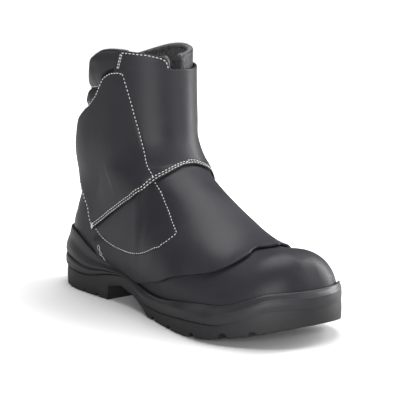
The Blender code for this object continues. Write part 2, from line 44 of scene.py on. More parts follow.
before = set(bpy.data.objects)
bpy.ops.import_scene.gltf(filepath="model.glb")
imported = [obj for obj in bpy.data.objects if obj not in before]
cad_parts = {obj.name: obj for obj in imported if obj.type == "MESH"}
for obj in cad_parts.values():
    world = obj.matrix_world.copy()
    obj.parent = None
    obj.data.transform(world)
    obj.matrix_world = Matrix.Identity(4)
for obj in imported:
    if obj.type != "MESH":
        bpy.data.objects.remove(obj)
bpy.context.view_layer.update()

# Driving sizes, in metres
LENGTH = 0.306
BALL_WIDTH = 0.112
COLLAR_HEIGHT = 0.209
SOLE_HEIGHT = 0.052
WALL = 0.0026
FLAP = 0.0022
SLACK = 0.0012
GAP = 0.0003
LIP = 0.0022
PADDING = 0.0048
TOE_SWING = 0.0085
SOLE_SWING = 0.010
CREST = 0.0085
WING_RISE = 0.0055
LAP = 0.026
TUCK = 0.0040
SHELF = 0.0015
CORE = 0.0028
REST_X = 0.13 * LENGTH
BREAST = (0.283, 0.290)

# Squareness of the curves: toe in plan, arch over the foot, ankle oval
TOE_PLAN = 3.3
ARCH_UP = 2.4
ARCH_OUT = 2.1
OVAL = 2.2

# Points across and up a flap panel and round the sole
PANEL_COLUMNS = 236
PANEL_ROWS = 112
SOLE_COLUMNS = 360

# Seam's distance in from a panel's edge, in metres
EDGE_INSET = 0.0014

# Toe box, as shares of LENGTH
TOE_START = 0.784
TOE_END = 0.9837
INSTEP_END = 0.517
ANKLE_FRONT = 0.470

# Half width of the foot's widest level: x / LENGTH, outer / BALL_WIDTH, inner / BALL_WIDTH
FOOT_WIDTH = np.array([
    (0.000, 0.277, 0.268), (0.131, 0.290, 0.277), (0.278, 0.308, 0.286), (0.425, 0.353, 0.295),
    (0.556, 0.429, 0.339), (0.670, 0.478, 0.402), (0.784, 0.482, 0.433), (0.882, 0.451, 0.438),
    (0.984, 0.402, 0.411),
])

# Bed of the foot, where the upper's lower edge lies: x / LENGTH, z / SOLE_HEIGHT
BED = np.array([
    (0.000, 0.558), (0.196, 0.538), (0.294, 0.510), (0.353, 0.471), (0.457, 0.327), (0.539, 0.279),
    (0.621, 0.273), (0.686, 0.279), (0.784, 0.298), (0.869, 0.375), (0.948, 0.500), (0.984, 0.558),
])

# Line over the instep and the toe: x / LENGTH, share of the height from the heel's bed to the collar
INSTEP = np.array([
    (0.327, 0.950), (0.409, 0.803), (0.444, 0.698), (0.456, 0.573), (0.492, 0.486), (0.535, 0.438),
    (0.582, 0.396), (0.654, 0.324), (0.703, 0.275), (0.758, 0.234), (0.804, 0.220), (0.850, 0.227),
    (0.899, 0.252), (0.984, 0.287),
])

# Levels of the upper from the bed to the collar: front x / LENGTH, front height share, back x / LENGTH,
# back height share, dip behind the toe / COLLAR_HEIGHT, share of ankle oval, outer and inner half width
# of that oval / BALL_WIDTH, reach of the heel's rounding / LENGTH
LEVELS = np.array([
    (0.9837, 0.000, 0.046, 0.000, 0.000, 0.00, 0.304, 0.304, 0.118),
    (0.9810, 0.072, 0.034, 0.039, 0.004, 0.00, 0.304, 0.304, 0.118),
    (0.9670, 0.156, 0.031, 0.078, 0.008, 0.00, 0.304, 0.304, 0.118),
    (0.9350, 0.216, 0.033, 0.116, 0.018, 0.00, 0.304, 0.304, 0.118),
    (0.8760, 0.229, 0.036, 0.156, 0.032, 0.00, 0.304, 0.304, 0.118),
    (0.8040, 0.220, 0.042, 0.194, 0.014, 0.00, 0.313, 0.313, 0.118),
    (0.7290, 0.258, 0.056, 0.256, 0.000, 0.05, 0.321, 0.321, 0.121),
    (0.6540, 0.324, 0.069, 0.316, 0.000, 0.20, 0.335, 0.330, 0.124),
    (0.5780, 0.401, 0.080, 0.383, 0.000, 0.45, 0.344, 0.339, 0.131),
    (0.4880, 0.481, 0.091, 0.461, 0.000, 0.75, 0.350, 0.342, 0.144),
    (0.4560, 0.576, 0.103, 0.555, 0.000, 0.95, 0.350, 0.344, 0.150),
    (0.4440, 0.705, 0.120, 0.667, 0.000, 1.00, 0.342, 0.342, 0.155),
    (0.4380, 0.850, 0.145, 0.794, 0.000, 1.00, 0.333, 0.336, 0.155),
    (0.4370, 0.994, 0.162, 0.944, 0.000, 1.00, 0.327, 0.333, 0.150),
])

# Outline of the sole: x / LENGTH, outer and inner half width / BALL_WIDTH
SOLE_PLAN = np.array([
    (0.000, 0.000, 0.000), (0.030, 0.203, 0.203), (0.080, 0.286, 0.286), (0.160, 0.326, 0.321),
    (0.280, 0.330, 0.317), (0.420, 0.362, 0.317), (0.550, 0.433, 0.366), (0.680, 0.512, 0.450),
    (0.780, 0.538, 0.472), (0.870, 0.484, 0.446), (0.940, 0.372, 0.346), (0.980, 0.219, 0.200),
    (1.000, 0.000, 0.000),
])

# Heights of the sole: x / LENGTH, then underside, core, parting line and rim / SOLE_HEIGHT
SOLE_SIDE = np.array([
    (0.000, 0.000, 0.269, 0.317, 1.000), (0.050, 0.000, 0.269, 0.315, 0.985),
    (0.092, 0.000, 0.269, 0.308, 0.965), (0.122, 0.000, 0.271, 0.302, 0.890),
    (0.155, 0.000, 0.275, 0.298, 0.788), (0.190, 0.000, 0.283, 0.308, 0.695),
    (0.240, 0.000, 0.308, 0.362, 0.640), (0.283, 0.000, 0.340, 0.420, 0.606),
    (0.290, 0.231, 0.346, 0.426, 0.600), (0.355, 0.310, 0.388, 0.475, 0.543),
    (0.420, 0.231, 0.292, 0.370, 0.433), (0.455, 0.154, 0.221, 0.262, 0.404),
    (0.485, 0.071, 0.173, 0.194, 0.388), (0.510, 0.000, 0.148, 0.175, 0.385),
    (0.580, 0.000, 0.135, 0.185, 0.400), (0.660, 0.000, 0.135, 0.231, 0.465),
    (0.700, 0.002, 0.137, 0.250, 0.495), (0.780, 0.036, 0.163, 0.277, 0.540),
    (0.834, 0.085, 0.202, 0.295, 0.572), (0.880, 0.138, 0.250, 0.385, 0.635),
    (0.920, 0.190, 0.300, 0.500, 0.735), (0.955, 0.250, 0.350, 0.585, 0.820),
    (1.000, 0.325, 0.410, 0.600, 0.835),
])

# Side of the middle sole: share of the height from parting line to rim, outset at the heel and at the
# forefoot / LIP, share of the way in to the upper
MIDSOLE_SIDE = np.array([
    (0.00, -0.10, -0.05, 0.00), (0.05, 0.42, 0.22, 0.00), (0.17, 0.64, 0.34, 0.00),
    (0.28, 0.42, 0.36, 0.00), (0.32, -0.30, 0.36, 0.01), (0.37, 0.46, 0.36, 0.03), (0.50, 0.66, 0.34, 0.10),
    (0.64, 0.30, 0.34, 0.22), (0.80, -0.20, 0.30, 0.55), (0.94, 0.00, 0.10, 0.90), (1.00, 0.00, 0.00, 1.00),
])

# Grooves under the sole: x / LENGTH, half width / LENGTH
GROOVES = np.array([
    (0.075, 0.0085), (0.177, 0.0085), (0.237, 0.0085), (0.545, 0.0105), (0.644, 0.0105), (0.752, 0.0115),
    (0.853, 0.0125), (0.922, 0.0095),
])

# Edges of the flap: share along the edge, level share, angle in degrees from the heel round the outer side
SHAFT_LOWER = np.array([
    (0.000, 0.277, 55.8), (0.072, 0.371, 63.7), (0.145, 0.428, 71.1), (0.221, 0.474, 79.1),
    (0.295, 0.515, 87.9), (0.365, 0.550, 97.2), (0.430, 0.580, 107.0), (0.476, 0.607, 115.5),
    (0.508, 0.626, 122.3), (0.549, 0.643, 130.9), (0.589, 0.655, 140.4), (0.622, 0.666, 150.0),
    (0.659, 0.678, 159.9), (0.699, 0.688, 170.2), (0.740, 0.694, 180.0), (0.787, 0.691, 188.2),
    (0.825, 0.682, 197.3), (0.911, 0.648, 222.0), (1.000, 0.590, 244.0),
])
SHAFT_UPPER = np.array([
    (0.000, 0.866, 60.5), (0.080, 0.884, 74.0), (0.120, 0.905, 82.0), (0.145, 0.924, 86.0),
    (0.170, 0.940, 90.0), (0.205, 0.950, 97.0), (0.240, 0.955, 104.0), (0.266, 0.957, 108.2),
    (0.284, 0.996, 112.4), (0.357, 0.997, 126.0), (0.460, 0.998, 145.0), (0.530, 0.999, 159.0),
    (0.558, 0.997, 165.5), (0.578, 0.990, 169.2), (0.594, 0.975, 171.0), (0.610, 0.969, 173.5),
    (0.673, 0.967, 184.0), (0.847, 0.962, 216.0), (1.000, 0.962, 244.0),
])
SHAFT_REAR = np.array([
    (0.00, 0.277, 55.8), (0.10, 0.345, 56.2), (0.22, 0.430, 54.6), (0.38, 0.527, 50.0), (0.58, 0.645, 42.0),
    (0.80, 0.770, 41.0), (0.91, 0.830, 46.0), (1.00, 0.866, 60.5),
])
INSTEP_LOWER = np.array([
    (0.000, 0.040, 60.5), (0.050, 0.037, 72.5), (0.098, 0.050, 84.0), (0.134, 0.080, 92.5),
    (0.169, 0.107, 101.0), (0.198, 0.138, 108.0), (0.236, 0.160, 117.0), (0.280, 0.182, 127.5),
    (0.307, 0.210, 134.0), (0.335, 0.250, 141.5), (0.374, 0.300, 151.0), (0.420, 0.345, 161.0),
    (0.456, 0.362, 169.0), (0.490, 0.356, 178.0), (0.528, 0.352, 187.0), (0.574, 0.356, 198.0),
    (0.620, 0.335, 209.0), (0.670, 0.275, 221.0), (0.741, 0.180, 238.0), (0.816, 0.100, 256.0),
    (1.000, 0.040, 300.0),
])

# Rear edge of the flap: share up the edge, how far it stands off / WING_RISE
WING = np.array([
    (0.00, 0.00), (0.20, 0.25), (0.38, 0.45), (0.58, 0.55), (0.78, 1.00), (0.90, 1.00), (1.00, 0.50),
])

# Padded rear collar: level share, thickness / PADDING
PAD_SECTION = np.array([
    (0.860, 0.15), (0.874, 0.55), (0.893, 0.70), (0.912, 0.55), (0.922, 0.16), (0.932, 0.60), (0.950, 0.95),
    (0.972, 1.00), (0.988, 0.80), (0.997, 0.35),
])
PAD_END = 109.0
TOP_RAISE = 0.0018


def column(table, x, index=1):
    """Smooth curve through one column of a table whose first column rises."""
    xs, ys = table[:, 0], table[:, index]
    x = np.clip(x, xs[0], xs[-1])
    row = np.clip(np.searchsorted(xs, x) - 1, 0, len(xs) - 2)
    step, slope = np.diff(xs), np.diff(ys) / np.diff(xs)
    tangent = np.empty(len(xs))
    tangent[0], tangent[-1] = slope[0], slope[-1]
    tangent[1:-1] = (slope[:-1] * step[1:] + slope[1:] * step[:-1]) / (step[1:] + step[:-1])
    flat = np.zeros(len(xs), bool)
    flat[1:-1] = slope[:-1] * slope[1:] <= 0
    tangent[flat] = 0
    least = 3 * np.minimum(np.abs(slope[:-1]), np.abs(slope[1:]))
    tangent[1:-1] = np.clip(tangent[1:-1], -least, least)
    t = (x - xs[row]) / step[row]
    start, end = ys[row], ys[row + 1]
    lift = start + (end - start) * t * t * (3 - 2 * t)
    return lift + step[row] * (1 - t) * t * (tangent[row] * (1 - t) - tangent[row + 1] * t)


def smooth(low, high, x):
    """0 below low, 1 above high, with a soft step between them."""
    t = np.clip((x - low) / (high - low), 0, 1)
    return t * t * (3 - 2 * t)


def swing(x):
    """How far the toe's middle line leans to the inner side."""
    return TOE_SWING * np.clip((x / LENGTH - 0.588) / 0.392, 0, 1) ** 2


def bed(x):
    return SOLE_HEIGHT * column(BED, x / LENGTH)


def height(share):
    """Height for a share of the way from the heel's bed to the collar."""
    return SOLE_HEIGHT * BED[0, 1] * (1 - share) + COLLAR_HEIGHT * share


def dorsal(x):
    """Height of the line over instep and toe."""
    toe = np.clip((x / LENGTH - TOE_START) / (TOE_END - TOE_START), 0, 1)
    fall = (1 - toe**TOE_PLAN) ** (1 / ARCH_UP)
    return bed(x) + (height(column(INSTEP, x / LENGTH)) - bed(x)) * fall


def foot_half(x, z, outer):
    """Half width of the foot's part of the upper at one point of its middle plane."""
    share = x / LENGTH
    wide = BALL_WIDTH * np.where(outer, column(FOOT_WIDTH, share, 1), column(FOOT_WIDTH, share, 2))
    toe = np.clip((share - TOE_START) / (TOE_END - TOE_START), 0, 1)
    top = height(column(INSTEP, share))
    rise = np.clip((z - bed(x)) / (top - bed(x)), 0, 1)
    return wide * np.clip(1 - toe**TOE_PLAN - rise**ARCH_UP, 0, 1) ** (1 / ARCH_OUT)


def skin(level, angle, out=0.0):
    """Outer surface of the upper: level from bed to collar, angle from the heel round the outer side."""
    level, angle = np.broadcast_arrays(np.asarray(level, float), np.asarray(angle, float))
    if np.any(out):
        return skin(level, angle) + np.asarray(out)[..., None] * outward(level, angle)
    rows = np.linspace(0, 1, len(LEVELS))
    table = np.column_stack([rows, LEVELS])
    front, front_z, back, back_z, dip, oval, outer_half, inner_half, heel = (
        column(table, level, 1 + index) for index in range(9)
    )
    along = (1 - np.cos(angle)) / 2
    outer = np.sin(angle) >= 0
    front, back, heel = front * LENGTH, back * LENGTH, heel * LENGTH
    own_z = dorsal(front)
    on_foot = smooth(ANKLE_FRONT, INSTEP_END, front / LENGTH)
    front_z = own_z * on_foot + height(front_z) * (1 - on_foot)
    back_z = height(back_z)
    x = back + (front - back) * along
    line = back_z + (front_z - back_z) * along - COLLAR_HEIGHT * dip * 12 * along**4 * (1 - along)
    sag = np.clip(1 - level / 0.4, 0, 1) ** 2
    crest = CREST * 4 * along * (1 - along) * np.clip((level - 0.72) / 0.28, 0, 1) ** 2
    z = line + (bed(x) - height(0)) * sag + crest
    from_back = np.clip((x - back) / heel, 0, 1)
    half = foot_half(x, z, outer) * (1 - (1 - from_back) ** OVAL) ** (1 / OVAL)
    wide = BALL_WIDTH * np.where(outer, outer_half, inner_half)
    ankle = wide * np.clip(1 - np.abs(2 * along - 1) ** OVAL, 0, 1) ** (1 / OVAL)
    half = half * (1 - oval) + ankle * oval
    half = np.maximum(half - TUCK * np.clip(1 - level / 0.12, 0, 1) ** 2 * np.abs(np.sin(angle)), 0)
    return np.stack([x, swing(x) + np.where(outer, -half, half), z], -1)


def outward(level, angle):
    """Unit normal of the upper's outer surface."""
    step = 2e-3
    low, high = np.clip(level - step, 0, 1), np.clip(level + step, 0, 1)
    round_it = skin(level, angle + step) - skin(level, angle - step)
    up_it = skin(high, angle) - skin(low, angle)
    normal = np.cross(round_it, up_it)
    return normal / np.linalg.norm(normal, axis=-1, keepdims=True)


def level_at(height_of_x, angle):
    """Level share at which the upper meets a height given along its length."""
    shares = np.linspace(0, 0.6, 121)
    points = skin(shares[:, None], angle[None, :])
    above = points[..., 2] - height_of_x(points[..., 0])
    first = np.clip((above > 0).argmax(axis=0), 1, None)
    columns = np.arange(len(angle))
    low, high = above[first - 1, columns], above[first, columns]
    share = np.clip(low / (low - high), 0, 1)
    return np.clip(shares[first - 1] + share * (shares[1] - shares[0]), 0, 1)


def sole_height(x, which):
    """Height of the sole: which is 1 for its underside, 2 core, 3 parting line, 4 rim."""
    return SOLE_HEIGHT * column(SOLE_SIDE, np.clip(x / LENGTH, 0, 1), which)


def underside(x):
    """Height of the underside, with its step at the heel's front kept sharp."""
    return SOLE_HEIGHT * np.interp(x / LENGTH, SOLE_SIDE[:, 0], SOLE_SIDE[:, 1])


def rim(x):
    return sole_height(x, 4)


def ring_angles(count, extra=()):
    """Angles round a closed outline, the same on both sides, with the extra lengths met exactly."""
    half = np.linspace(0, math.pi, count // 2 + 1)
    for angle in np.arccos(1 - 2 * np.array(extra)):
        half = half[np.abs(half - angle) > 0.4 * half[1]]
    half = np.union1d(half, np.arccos(1 - 2 * np.array(extra)))
    return np.concatenate([half, 2 * math.pi - half[-2:0:-1]])


def sole_outline(angle, out=0.0):
    """Plan of the sole, moved out along its own normal."""

    def plan(a):
        along = (1 - np.cos(a)) / 2
        turned = SOLE_PLAN.copy()
        turned[:, 0] = np.arccos(1 - 2 * SOLE_PLAN[:, 0])
        at = np.arccos(np.clip(1 - 2 * along, -1, 1))
        outer = np.sin(a) >= 0
        half = BALL_WIDTH * np.where(outer, column(turned, at, 1), column(turned, at, 2))
        middle = SOLE_SWING * np.clip((along - 0.6) / 0.4, 0, 1) ** 2
        return np.stack([LENGTH * along, middle + np.where(outer, -half, half)], -1)

    step = 1e-3
    tangent = plan(angle + step) - plan(angle - step)
    normal = np.stack([tangent[..., 1], -tangent[..., 0]], -1)
    normal /= np.linalg.norm(normal, axis=-1, keepdims=True)
    return plan(angle) + normal * np.broadcast_to(out, angle.shape)[..., None]


def strip_cap(start, count, upward):
    """Faces across a ring, from each point to the one opposite it."""
    faces = []
    for index in range(count // 2):
        one, two = index, index + 1
        across, next_across = (count - index) % count, count - index - 1
        corners = [start + one, start + two, start + next_across, start + across]
        corners = list(dict.fromkeys(corners))
        faces.append(corners if upward else corners[::-1])
    return faces


def edge_points(table, share):
    """Level share and angle along an edge table."""
    return np.stack([column(table, share, 1), column(table, share, 2)], -1)


def patch(lower, upper, rear, across, up):
    """Level and angle over a panel, ruled from lower to upper edge, with its rear edge's own curve."""
    p, q = np.meshgrid(across, up)
    p, q = p[..., None], q[..., None]
    bottom, top = edge_points(lower, across)[None], edge_points(upper, across)[None]
    chord = bottom[:, :1] * (1 - q) + top[:, :1] * q
    curve = edge_points(rear, up)[:, None] - chord
    grid = bottom * (1 - q) + top * q + curve * (1 - p) ** 4
    return grid[..., 0], np.radians(grid[..., 1])


# Lines of stitching: level, angle in degrees
LEAF_SEAM = [
    (0.951, 117.2), (0.926, 122.2), (0.896, 127.6), (0.853, 133.4), (0.806, 138.5), (0.761, 141.6),
    (0.718, 142.6), (0.682, 140.0), (0.660, 136.4),
]
LEAF_SEAM_LOW = [
    (0.662, 135.6), (0.645, 134.4), (0.630, 133.6), (0.597, 131.7), (0.553, 130.5), (0.506, 130.1),
    (0.452, 129.2),
]
ARC_SEAM = [
    (0.450, 129.0), (0.422, 122.3), (0.382, 114.0), (0.309, 103.8), (0.240, 95.0), (0.203, 88.3),
    (0.184, 82.4), (0.174, 77.5), (0.173, 71.6), (0.190, 66.0), (0.228, 60.5), (0.290, 56.8),
]
COLLAR_SEAM = [
    (0.9915, 114.6), (0.9925, 126.0), (0.9935, 138.0), (0.9945, 149.0), (0.9945, 157.0), (0.9925, 162.5),
    (0.986, 167.2), (0.976, 169.0), (0.970, 169.6),
]
UPRIGHT_SEAM = [(0.9895, 114.2), (0.978, 112.6), (0.967, 111.2), (0.959, 110.2)]
CROSS_SEAM = [(0.952, 106.5), (0.953, 111.5), (0.9515, 117.0)]
QUILT_SEAM = [(0.9235, -102.0), (0.9235, -40.0), (0.9235, 0.0), (0.9235, 40.0), (0.9235, 86.0)]

# Soft folds: panel, trough's line as level and angle, half width and depth in millimetres
FOLDS = [
    ("shaft", [(0.66, 176.0), (0.78, 174.0), (0.90, 172.0)], 12.0, 0.35),
    ("shaft", [(0.64, 226.0), (0.70, 216.0), (0.74, 204.0)], 6.0, -0.8),
    ("shaft", [(0.72, 234.0), (0.79, 224.0), (0.83, 210.0)], 7.0, -0.6),
    ("instep", [(0.50, 236.0), (0.43, 226.0), (0.39, 214.0)], 7.0, -0.8),
    ("instep", [(0.36, 250.0), (0.31, 238.0), (0.30, 226.0)], 7.0, -0.6),
    ("upper", [(0.36, 10.0), (0.40, 24.0), (0.44, 38.0)], 5.0, -0.45),
    ("upper", [(0.52, 6.0), (0.56, 22.0), (0.61, 36.0)], 6.0, -0.4),
    ("upper", [(0.40, -10.0), (0.46, -30.0), (0.52, -52.0)], 6.0, -0.7),
    ("upper", [(0.56, -14.0), (0.60, -34.0), (0.66, -56.0)], 6.0, -0.5),
]


def length_field(name, description, default):
    """A size in metres that a user can change."""
    return FloatProperty(name=name, description=description, default=default, unit="LENGTH", precision=5)


def colour_field(name, description, default):
    """A colour that a user can change."""
    return FloatVectorProperty(
        name=name, description=description, default=default, size=3, subtype="COLOR", min=0, max=1
    )


class BootSizes(bpy.types.PropertyGroup):
    thread: length_field("Thread", "Radius of the sewing thread", 0.00035)
    single_pitch: length_field("Single pitch", "Stitch spacing of the single rows", 0.0033)
    double_pitch: length_field("Double pitch", "Stitch spacing of the double rows", 0.0031)
    dash: FloatProperty(
        name="Dash", description="Shown share of a single stitch", default=0.47, min=0.2, max=0.98,
        subtype="FACTOR"
    )
    trough: length_field("Seam trough", "How deep a seam sinks into the leather", 0.00035)
    edge_round: length_field("Edge rounding", "Radius of the flap's cut edges", 0.0007)
    folds: FloatProperty(
        name="Folds", description="Strength of the soft folds in the leather", default=1.0, min=0, max=3
    )
    pucker: length_field("Pucker", "Height of the quilting's puckers", 0.00028)
    binding: length_field("Binding", "Radius of the rolled edges", 0.0015)
    around: IntProperty(
        name="Columns", description="Columns of points round the upper", default=240, min=60, max=320
    )


class BootColours(bpy.types.PropertyGroup):
    leather: colour_field("Leather", "Colour of the smooth leather", (0.031, 0.0303, 0.0355))
    quilt: colour_field("Quilting", "Colour of the padded collar", (0.036, 0.0358, 0.0385))
    thread: colour_field("Thread", "Colour of the thread", (0.93, 0.93, 0.91))
    textile: colour_field("Lining", "Colour of the lining's weave", (0.20, 0.20, 0.205))
    foam: colour_field("Middle sole", "Colour of the moulded middle sole", (0.031, 0.0306, 0.034))
    rubber: colour_field("Outer sole", "Colour of the rubber", (0.026, 0.0258, 0.028))
    felt: colour_field("Footbed", "Colour of the footbed's felt", (0.055, 0.055, 0.060))
    floor: colour_field("Floor", "Colour of the studio floor", (0.92, 0.92, 0.92))


def node(tree, kind, inputs=None, **settings):
    """A shader node with its settings, its inputs set or linked."""
    made = tree.nodes.new(kind)
    for key, value in settings.items():
        setattr(made, key, value)
    for key, value in (inputs or {}).items():
        if isinstance(value, bpy.types.NodeSocket):
            tree.links.new(value, made.inputs[key])
        else:
            made.inputs[key].default_value = value
    return made


def math_node(tree, operation, one, two=0.0, clamp=False):
    return node(tree, "ShaderNodeMath", {0: one, 1: two}, operation=operation, use_clamp=clamp).outputs[0]


def times(tree, one, two):
    return math_node(tree, "MULTIPLY", one, two)


def vector_node(tree, operation, inputs, output=0):
    return node(tree, "ShaderNodeVectorMath", inputs, operation=operation).outputs[output]


def remap(tree, value, low, high, to_low=0.0, to_high=1.0):
    inputs = {"Value": value, "From Min": low, "From Max": high, "To Min": to_low, "To Max": to_high}
    return node(tree, "ShaderNodeMapRange", inputs, interpolation_type="SMOOTHSTEP").outputs["Result"]


def mix_colours(tree, factor, one, two):
    made = node(tree, "ShaderNodeMix", data_type="RGBA")
    for index, value in ((0, factor), (6, one), (7, two)):
        if isinstance(value, bpy.types.NodeSocket):
            tree.links.new(value, made.inputs[index])
        elif index:
            made.inputs[index].default_value = (*value, 1.0)
        else:
            made.inputs[index].default_value = value
    return made.outputs[2]


def noise_texture(tree, place, scale, detail=2.0, rough=0.5, distortion=0.0):
    inputs = {"Vector": place, "Scale": scale, "Detail": detail, "Roughness": rough, "Distortion": distortion}
    return node(tree, "ShaderNodeTexNoise", inputs).outputs["Fac"]


def group(name, inputs, outputs):
    """An empty shader group with float inputs and outputs."""
    tree = bpy.data.node_groups.new(name, "ShaderNodeTree")
    for label, value in inputs.items():
        made = tree.interface.new_socket(label, in_out="INPUT", socket_type="NodeSocketFloat")
        made.default_value = value
    for label in outputs:
        tree.interface.new_socket(label, in_out="OUTPUT", socket_type="NodeSocketFloat")
    entry = tree.nodes.new("NodeGroupInput")
    leave = tree.nodes.new("NodeGroupOutput")
    where = node(tree, "ShaderNodeTexCoord").outputs["Object"]
    return tree, entry.outputs, leave.inputs, where


def grain_group():
    """Leather grain: small cells parted by fine lines, with pores and a slow change of tone."""
    tree, entry, leave, where = group("leather_grain", {"Cells": 1100.0, "Pores": 2600.0}, ("Height", "Tone"))
    wander = node(tree, "ShaderNodeTexNoise", {"Vector": where, "Scale": 260.0, "Detail": 2.0})
    offset = node(
        tree, "ShaderNodeVectorMath", {0: wander.outputs["Color"], "Scale": 0.0011}, operation="SCALE"
    ).outputs[0]
    bent = node(tree, "ShaderNodeVectorMath", {0: where, 1: offset}, operation="ADD").outputs[0]
    cells = node(
        tree, "ShaderNodeTexVoronoi", {"Vector": bent, "Scale": entry["Cells"]}, feature="DISTANCE_TO_EDGE"
    ).outputs["Distance"]
    raised = remap(tree, cells, 0.0, 0.22)
    pores = noise_texture(tree, where, entry["Pores"], 3.0, 0.6)
    height = math_node(tree, "ADD", times(tree, raised, 0.7), times(tree, pores, 0.3))
    tree.links.new(height, leave["Height"])
    tree.links.new(noise_texture(tree, where, 22.0, 3.0, 0.55, 0.4), leave["Tone"])
    return tree


def dust_group():
    """Dust and scuffs: a mask of soft patches with fine specks in them."""
    tree, entry, leave, where = group("dust", {"Patches": 40.0, "Amount": 0.5}, ("Mask",))
    patches = noise_texture(tree, where, entry["Patches"], 5.0, 0.65, 0.6)
    specks = noise_texture(tree, where, 1800.0, 2.0, 0.5)
    low = math_node(tree, "SUBTRACT", 0.78, times(tree, entry["Amount"], 0.22))
    patch_mask = node(
        tree, "ShaderNodeMapRange", {"Value": patches, "From Min": low, "From Max": 0.85}
    ).outputs["Result"]
    tree.links.new(times(tree, patch_mask, remap(tree, specks, 0.35, 0.7)), leave["Mask"])
    return tree


def weave_group():
    """Knitted lining: small loops with gaps between them, and a mottled tone."""
    tree, entry, leave, where = group("weave", {"Loops": 900.0}, ("Height", "Tone"))
    loops = node(
        tree, "ShaderNodeTexVoronoi", {"Vector": where, "Scale": entry["Loops"], "Randomness": 0.75}
    ).outputs["Distance"]
    hairs = noise_texture(tree, where, 2400.0, 3.0, 0.7)
    height = math_node(tree, "SUBTRACT", times(tree, hairs, 0.35), loops)
    tree.links.new(height, leave["Height"])
    mottle = noise_texture(tree, where, 520.0, 4.0, 0.75)
    tone = times(tree, remap(tree, loops, 0.75, 0.1), remap(tree, mottle, 0.35, 0.68))
    tree.links.new(tone, leave["Tone"])
    return tree


def stipple_group():
    """Moulded skin: fine dimples over a slow waviness."""
    tree, entry, leave, where = group("stipple", {"Dimples": 1500.0}, ("Height", "Tone"))
    dimples = noise_texture(tree, where, entry["Dimples"], 2.0, 0.5)
    waves = noise_texture(tree, where, 60.0, 3.0, 0.5)
    tree.links.new(math_node(tree, "ADD", dimples, times(tree, waves, 0.8)), leave["Height"])
    tree.links.new(noise_texture(tree, where, 35.0, 4.0, 0.6, 0.3), leave["Tone"])
    return tree


def placed(tree, made, values):
    return node(tree, "ShaderNodeGroup", None, node_tree=made) if not values else _with_values(tree, made, values)


def _with_values(tree, made, values):
    placed_node = node(tree, "ShaderNodeGroup", None, node_tree=made)
    for key, value in values.items():
        placed_node.inputs[key].default_value = value
    return placed_node


def material(name, sheen=0.0, specular=0.22):
    """An empty principled material and its tree and shader."""
    made = bpy.data.materials.new(name)
    made.use_nodes = True
    tree = made.node_tree
    shader = tree.nodes["Principled BSDF"]
    shader.inputs["Sheen Weight"].default_value = sheen
    shader.inputs["Specular IOR Level"].default_value = specular
    return made, tree, shader


def bump(tree, shader, height, strength, distance):
    inputs = {"Height": height, "Strength": strength, "Distance": distance}
    tree.links.new(node(tree, "ShaderNodeBump", inputs).outputs["Normal"], shader.inputs["Normal"])


def scaled(colour, factor):
    return tuple(min(1.0, part * factor) for part in colour)


def leather_material(name, colour, groups, cells, strength, rough, dusty):
    made, tree, shader = material(name)
    grain = placed(tree, groups["grain"], {"Cells": cells})
    dust = placed(tree, groups["dust"], {"Amount": dusty})
    tone = remap(tree, grain.outputs["Tone"], 0.3, 0.7)
    base = mix_colours(tree, tone, scaled(colour, 0.84), scaled(colour, 1.16))
    raised = remap(tree, grain.outputs["Height"], 0.1, 0.6)
    ground = mix_colours(tree, raised, scaled(colour, 0.6), scaled(colour, 1.2))
    worn = mix_colours(tree, 0.35, base, ground)
    dusted = times(tree, dust.outputs["Mask"], 0.35)
    tree.links.new(mix_colours(tree, dusted, worn, (0.14, 0.135, 0.13)), shader.inputs["Base Color"])
    smooth_rough = remap(tree, grain.outputs["Tone"], 0.25, 0.75, rough - 0.04, rough + 0.06)
    tree.links.new(
        math_node(tree, "ADD", smooth_rough, times(tree, dust.outputs["Mask"], 0.2), True),
        shader.inputs["Roughness"],
    )
    bump(tree, shader, grain.outputs["Height"], strength, 0.0002)
    return made


def textile_material(name, colour, groups, loops):
    made, tree, shader = material(name, sheen=0.25, specular=0.3)
    weave = placed(tree, groups["weave"], {"Loops": loops})
    base = mix_colours(tree, weave.outputs["Tone"], scaled(colour, 0.28), scaled(colour, 1.8))
    tree.links.new(base, shader.inputs["Base Color"])
    shader.inputs["Roughness"].default_value = 0.9
    bump(tree, shader, weave.outputs["Height"], 0.9, 0.0006)
    return made


def sole_material(name, colour, groups, dimples, strength, rough, toe_grit):
    """Moulded sole: stippled skin with patches of dust, with coarser grit at the toe where toe_grit is set."""
    made, tree, shader = material(name, specular=0.4)
    skin_node = placed(tree, groups["stipple"], {"Dimples": dimples})
    dust = placed(tree, groups["dust"], {"Patches": 70.0, "Amount": 0.7})
    tone = remap(tree, skin_node.outputs["Tone"], 0.3, 0.7)
    base = mix_colours(tree, tone, scaled(colour, 0.85), scaled(colour, 1.2))
    dusted = times(tree, dust.outputs["Mask"], 0.4)
    tree.links.new(mix_colours(tree, dusted, base, (0.12, 0.118, 0.115)), shader.inputs["Base Color"])
    rough_map = remap(tree, skin_node.outputs["Tone"], 0.3, 0.7, rough - 0.05, rough + 0.07)
    tree.links.new(rough_map, shader.inputs["Roughness"])
    height = skin_node.outputs["Height"]
    if toe_grit:
        where = node(tree, "ShaderNodeTexCoord").outputs["Object"]
        along = node(tree, "ShaderNodeSeparateXYZ", {0: where}).outputs["X"]
        front = remap(tree, along, 0.90 * LENGTH - REST_X, 0.985 * LENGTH - REST_X)
        grit = node(
            tree, "ShaderNodeTexVoronoi", {"Vector": where, "Scale": 620.0, "Randomness": 0.9}
        ).outputs["Distance"]
        height = math_node(
            tree, "ADD", height, times(tree, times(tree, grit, 2.2), front)
        )
    bump(tree, shader, height, strength, 0.0003)
    return made


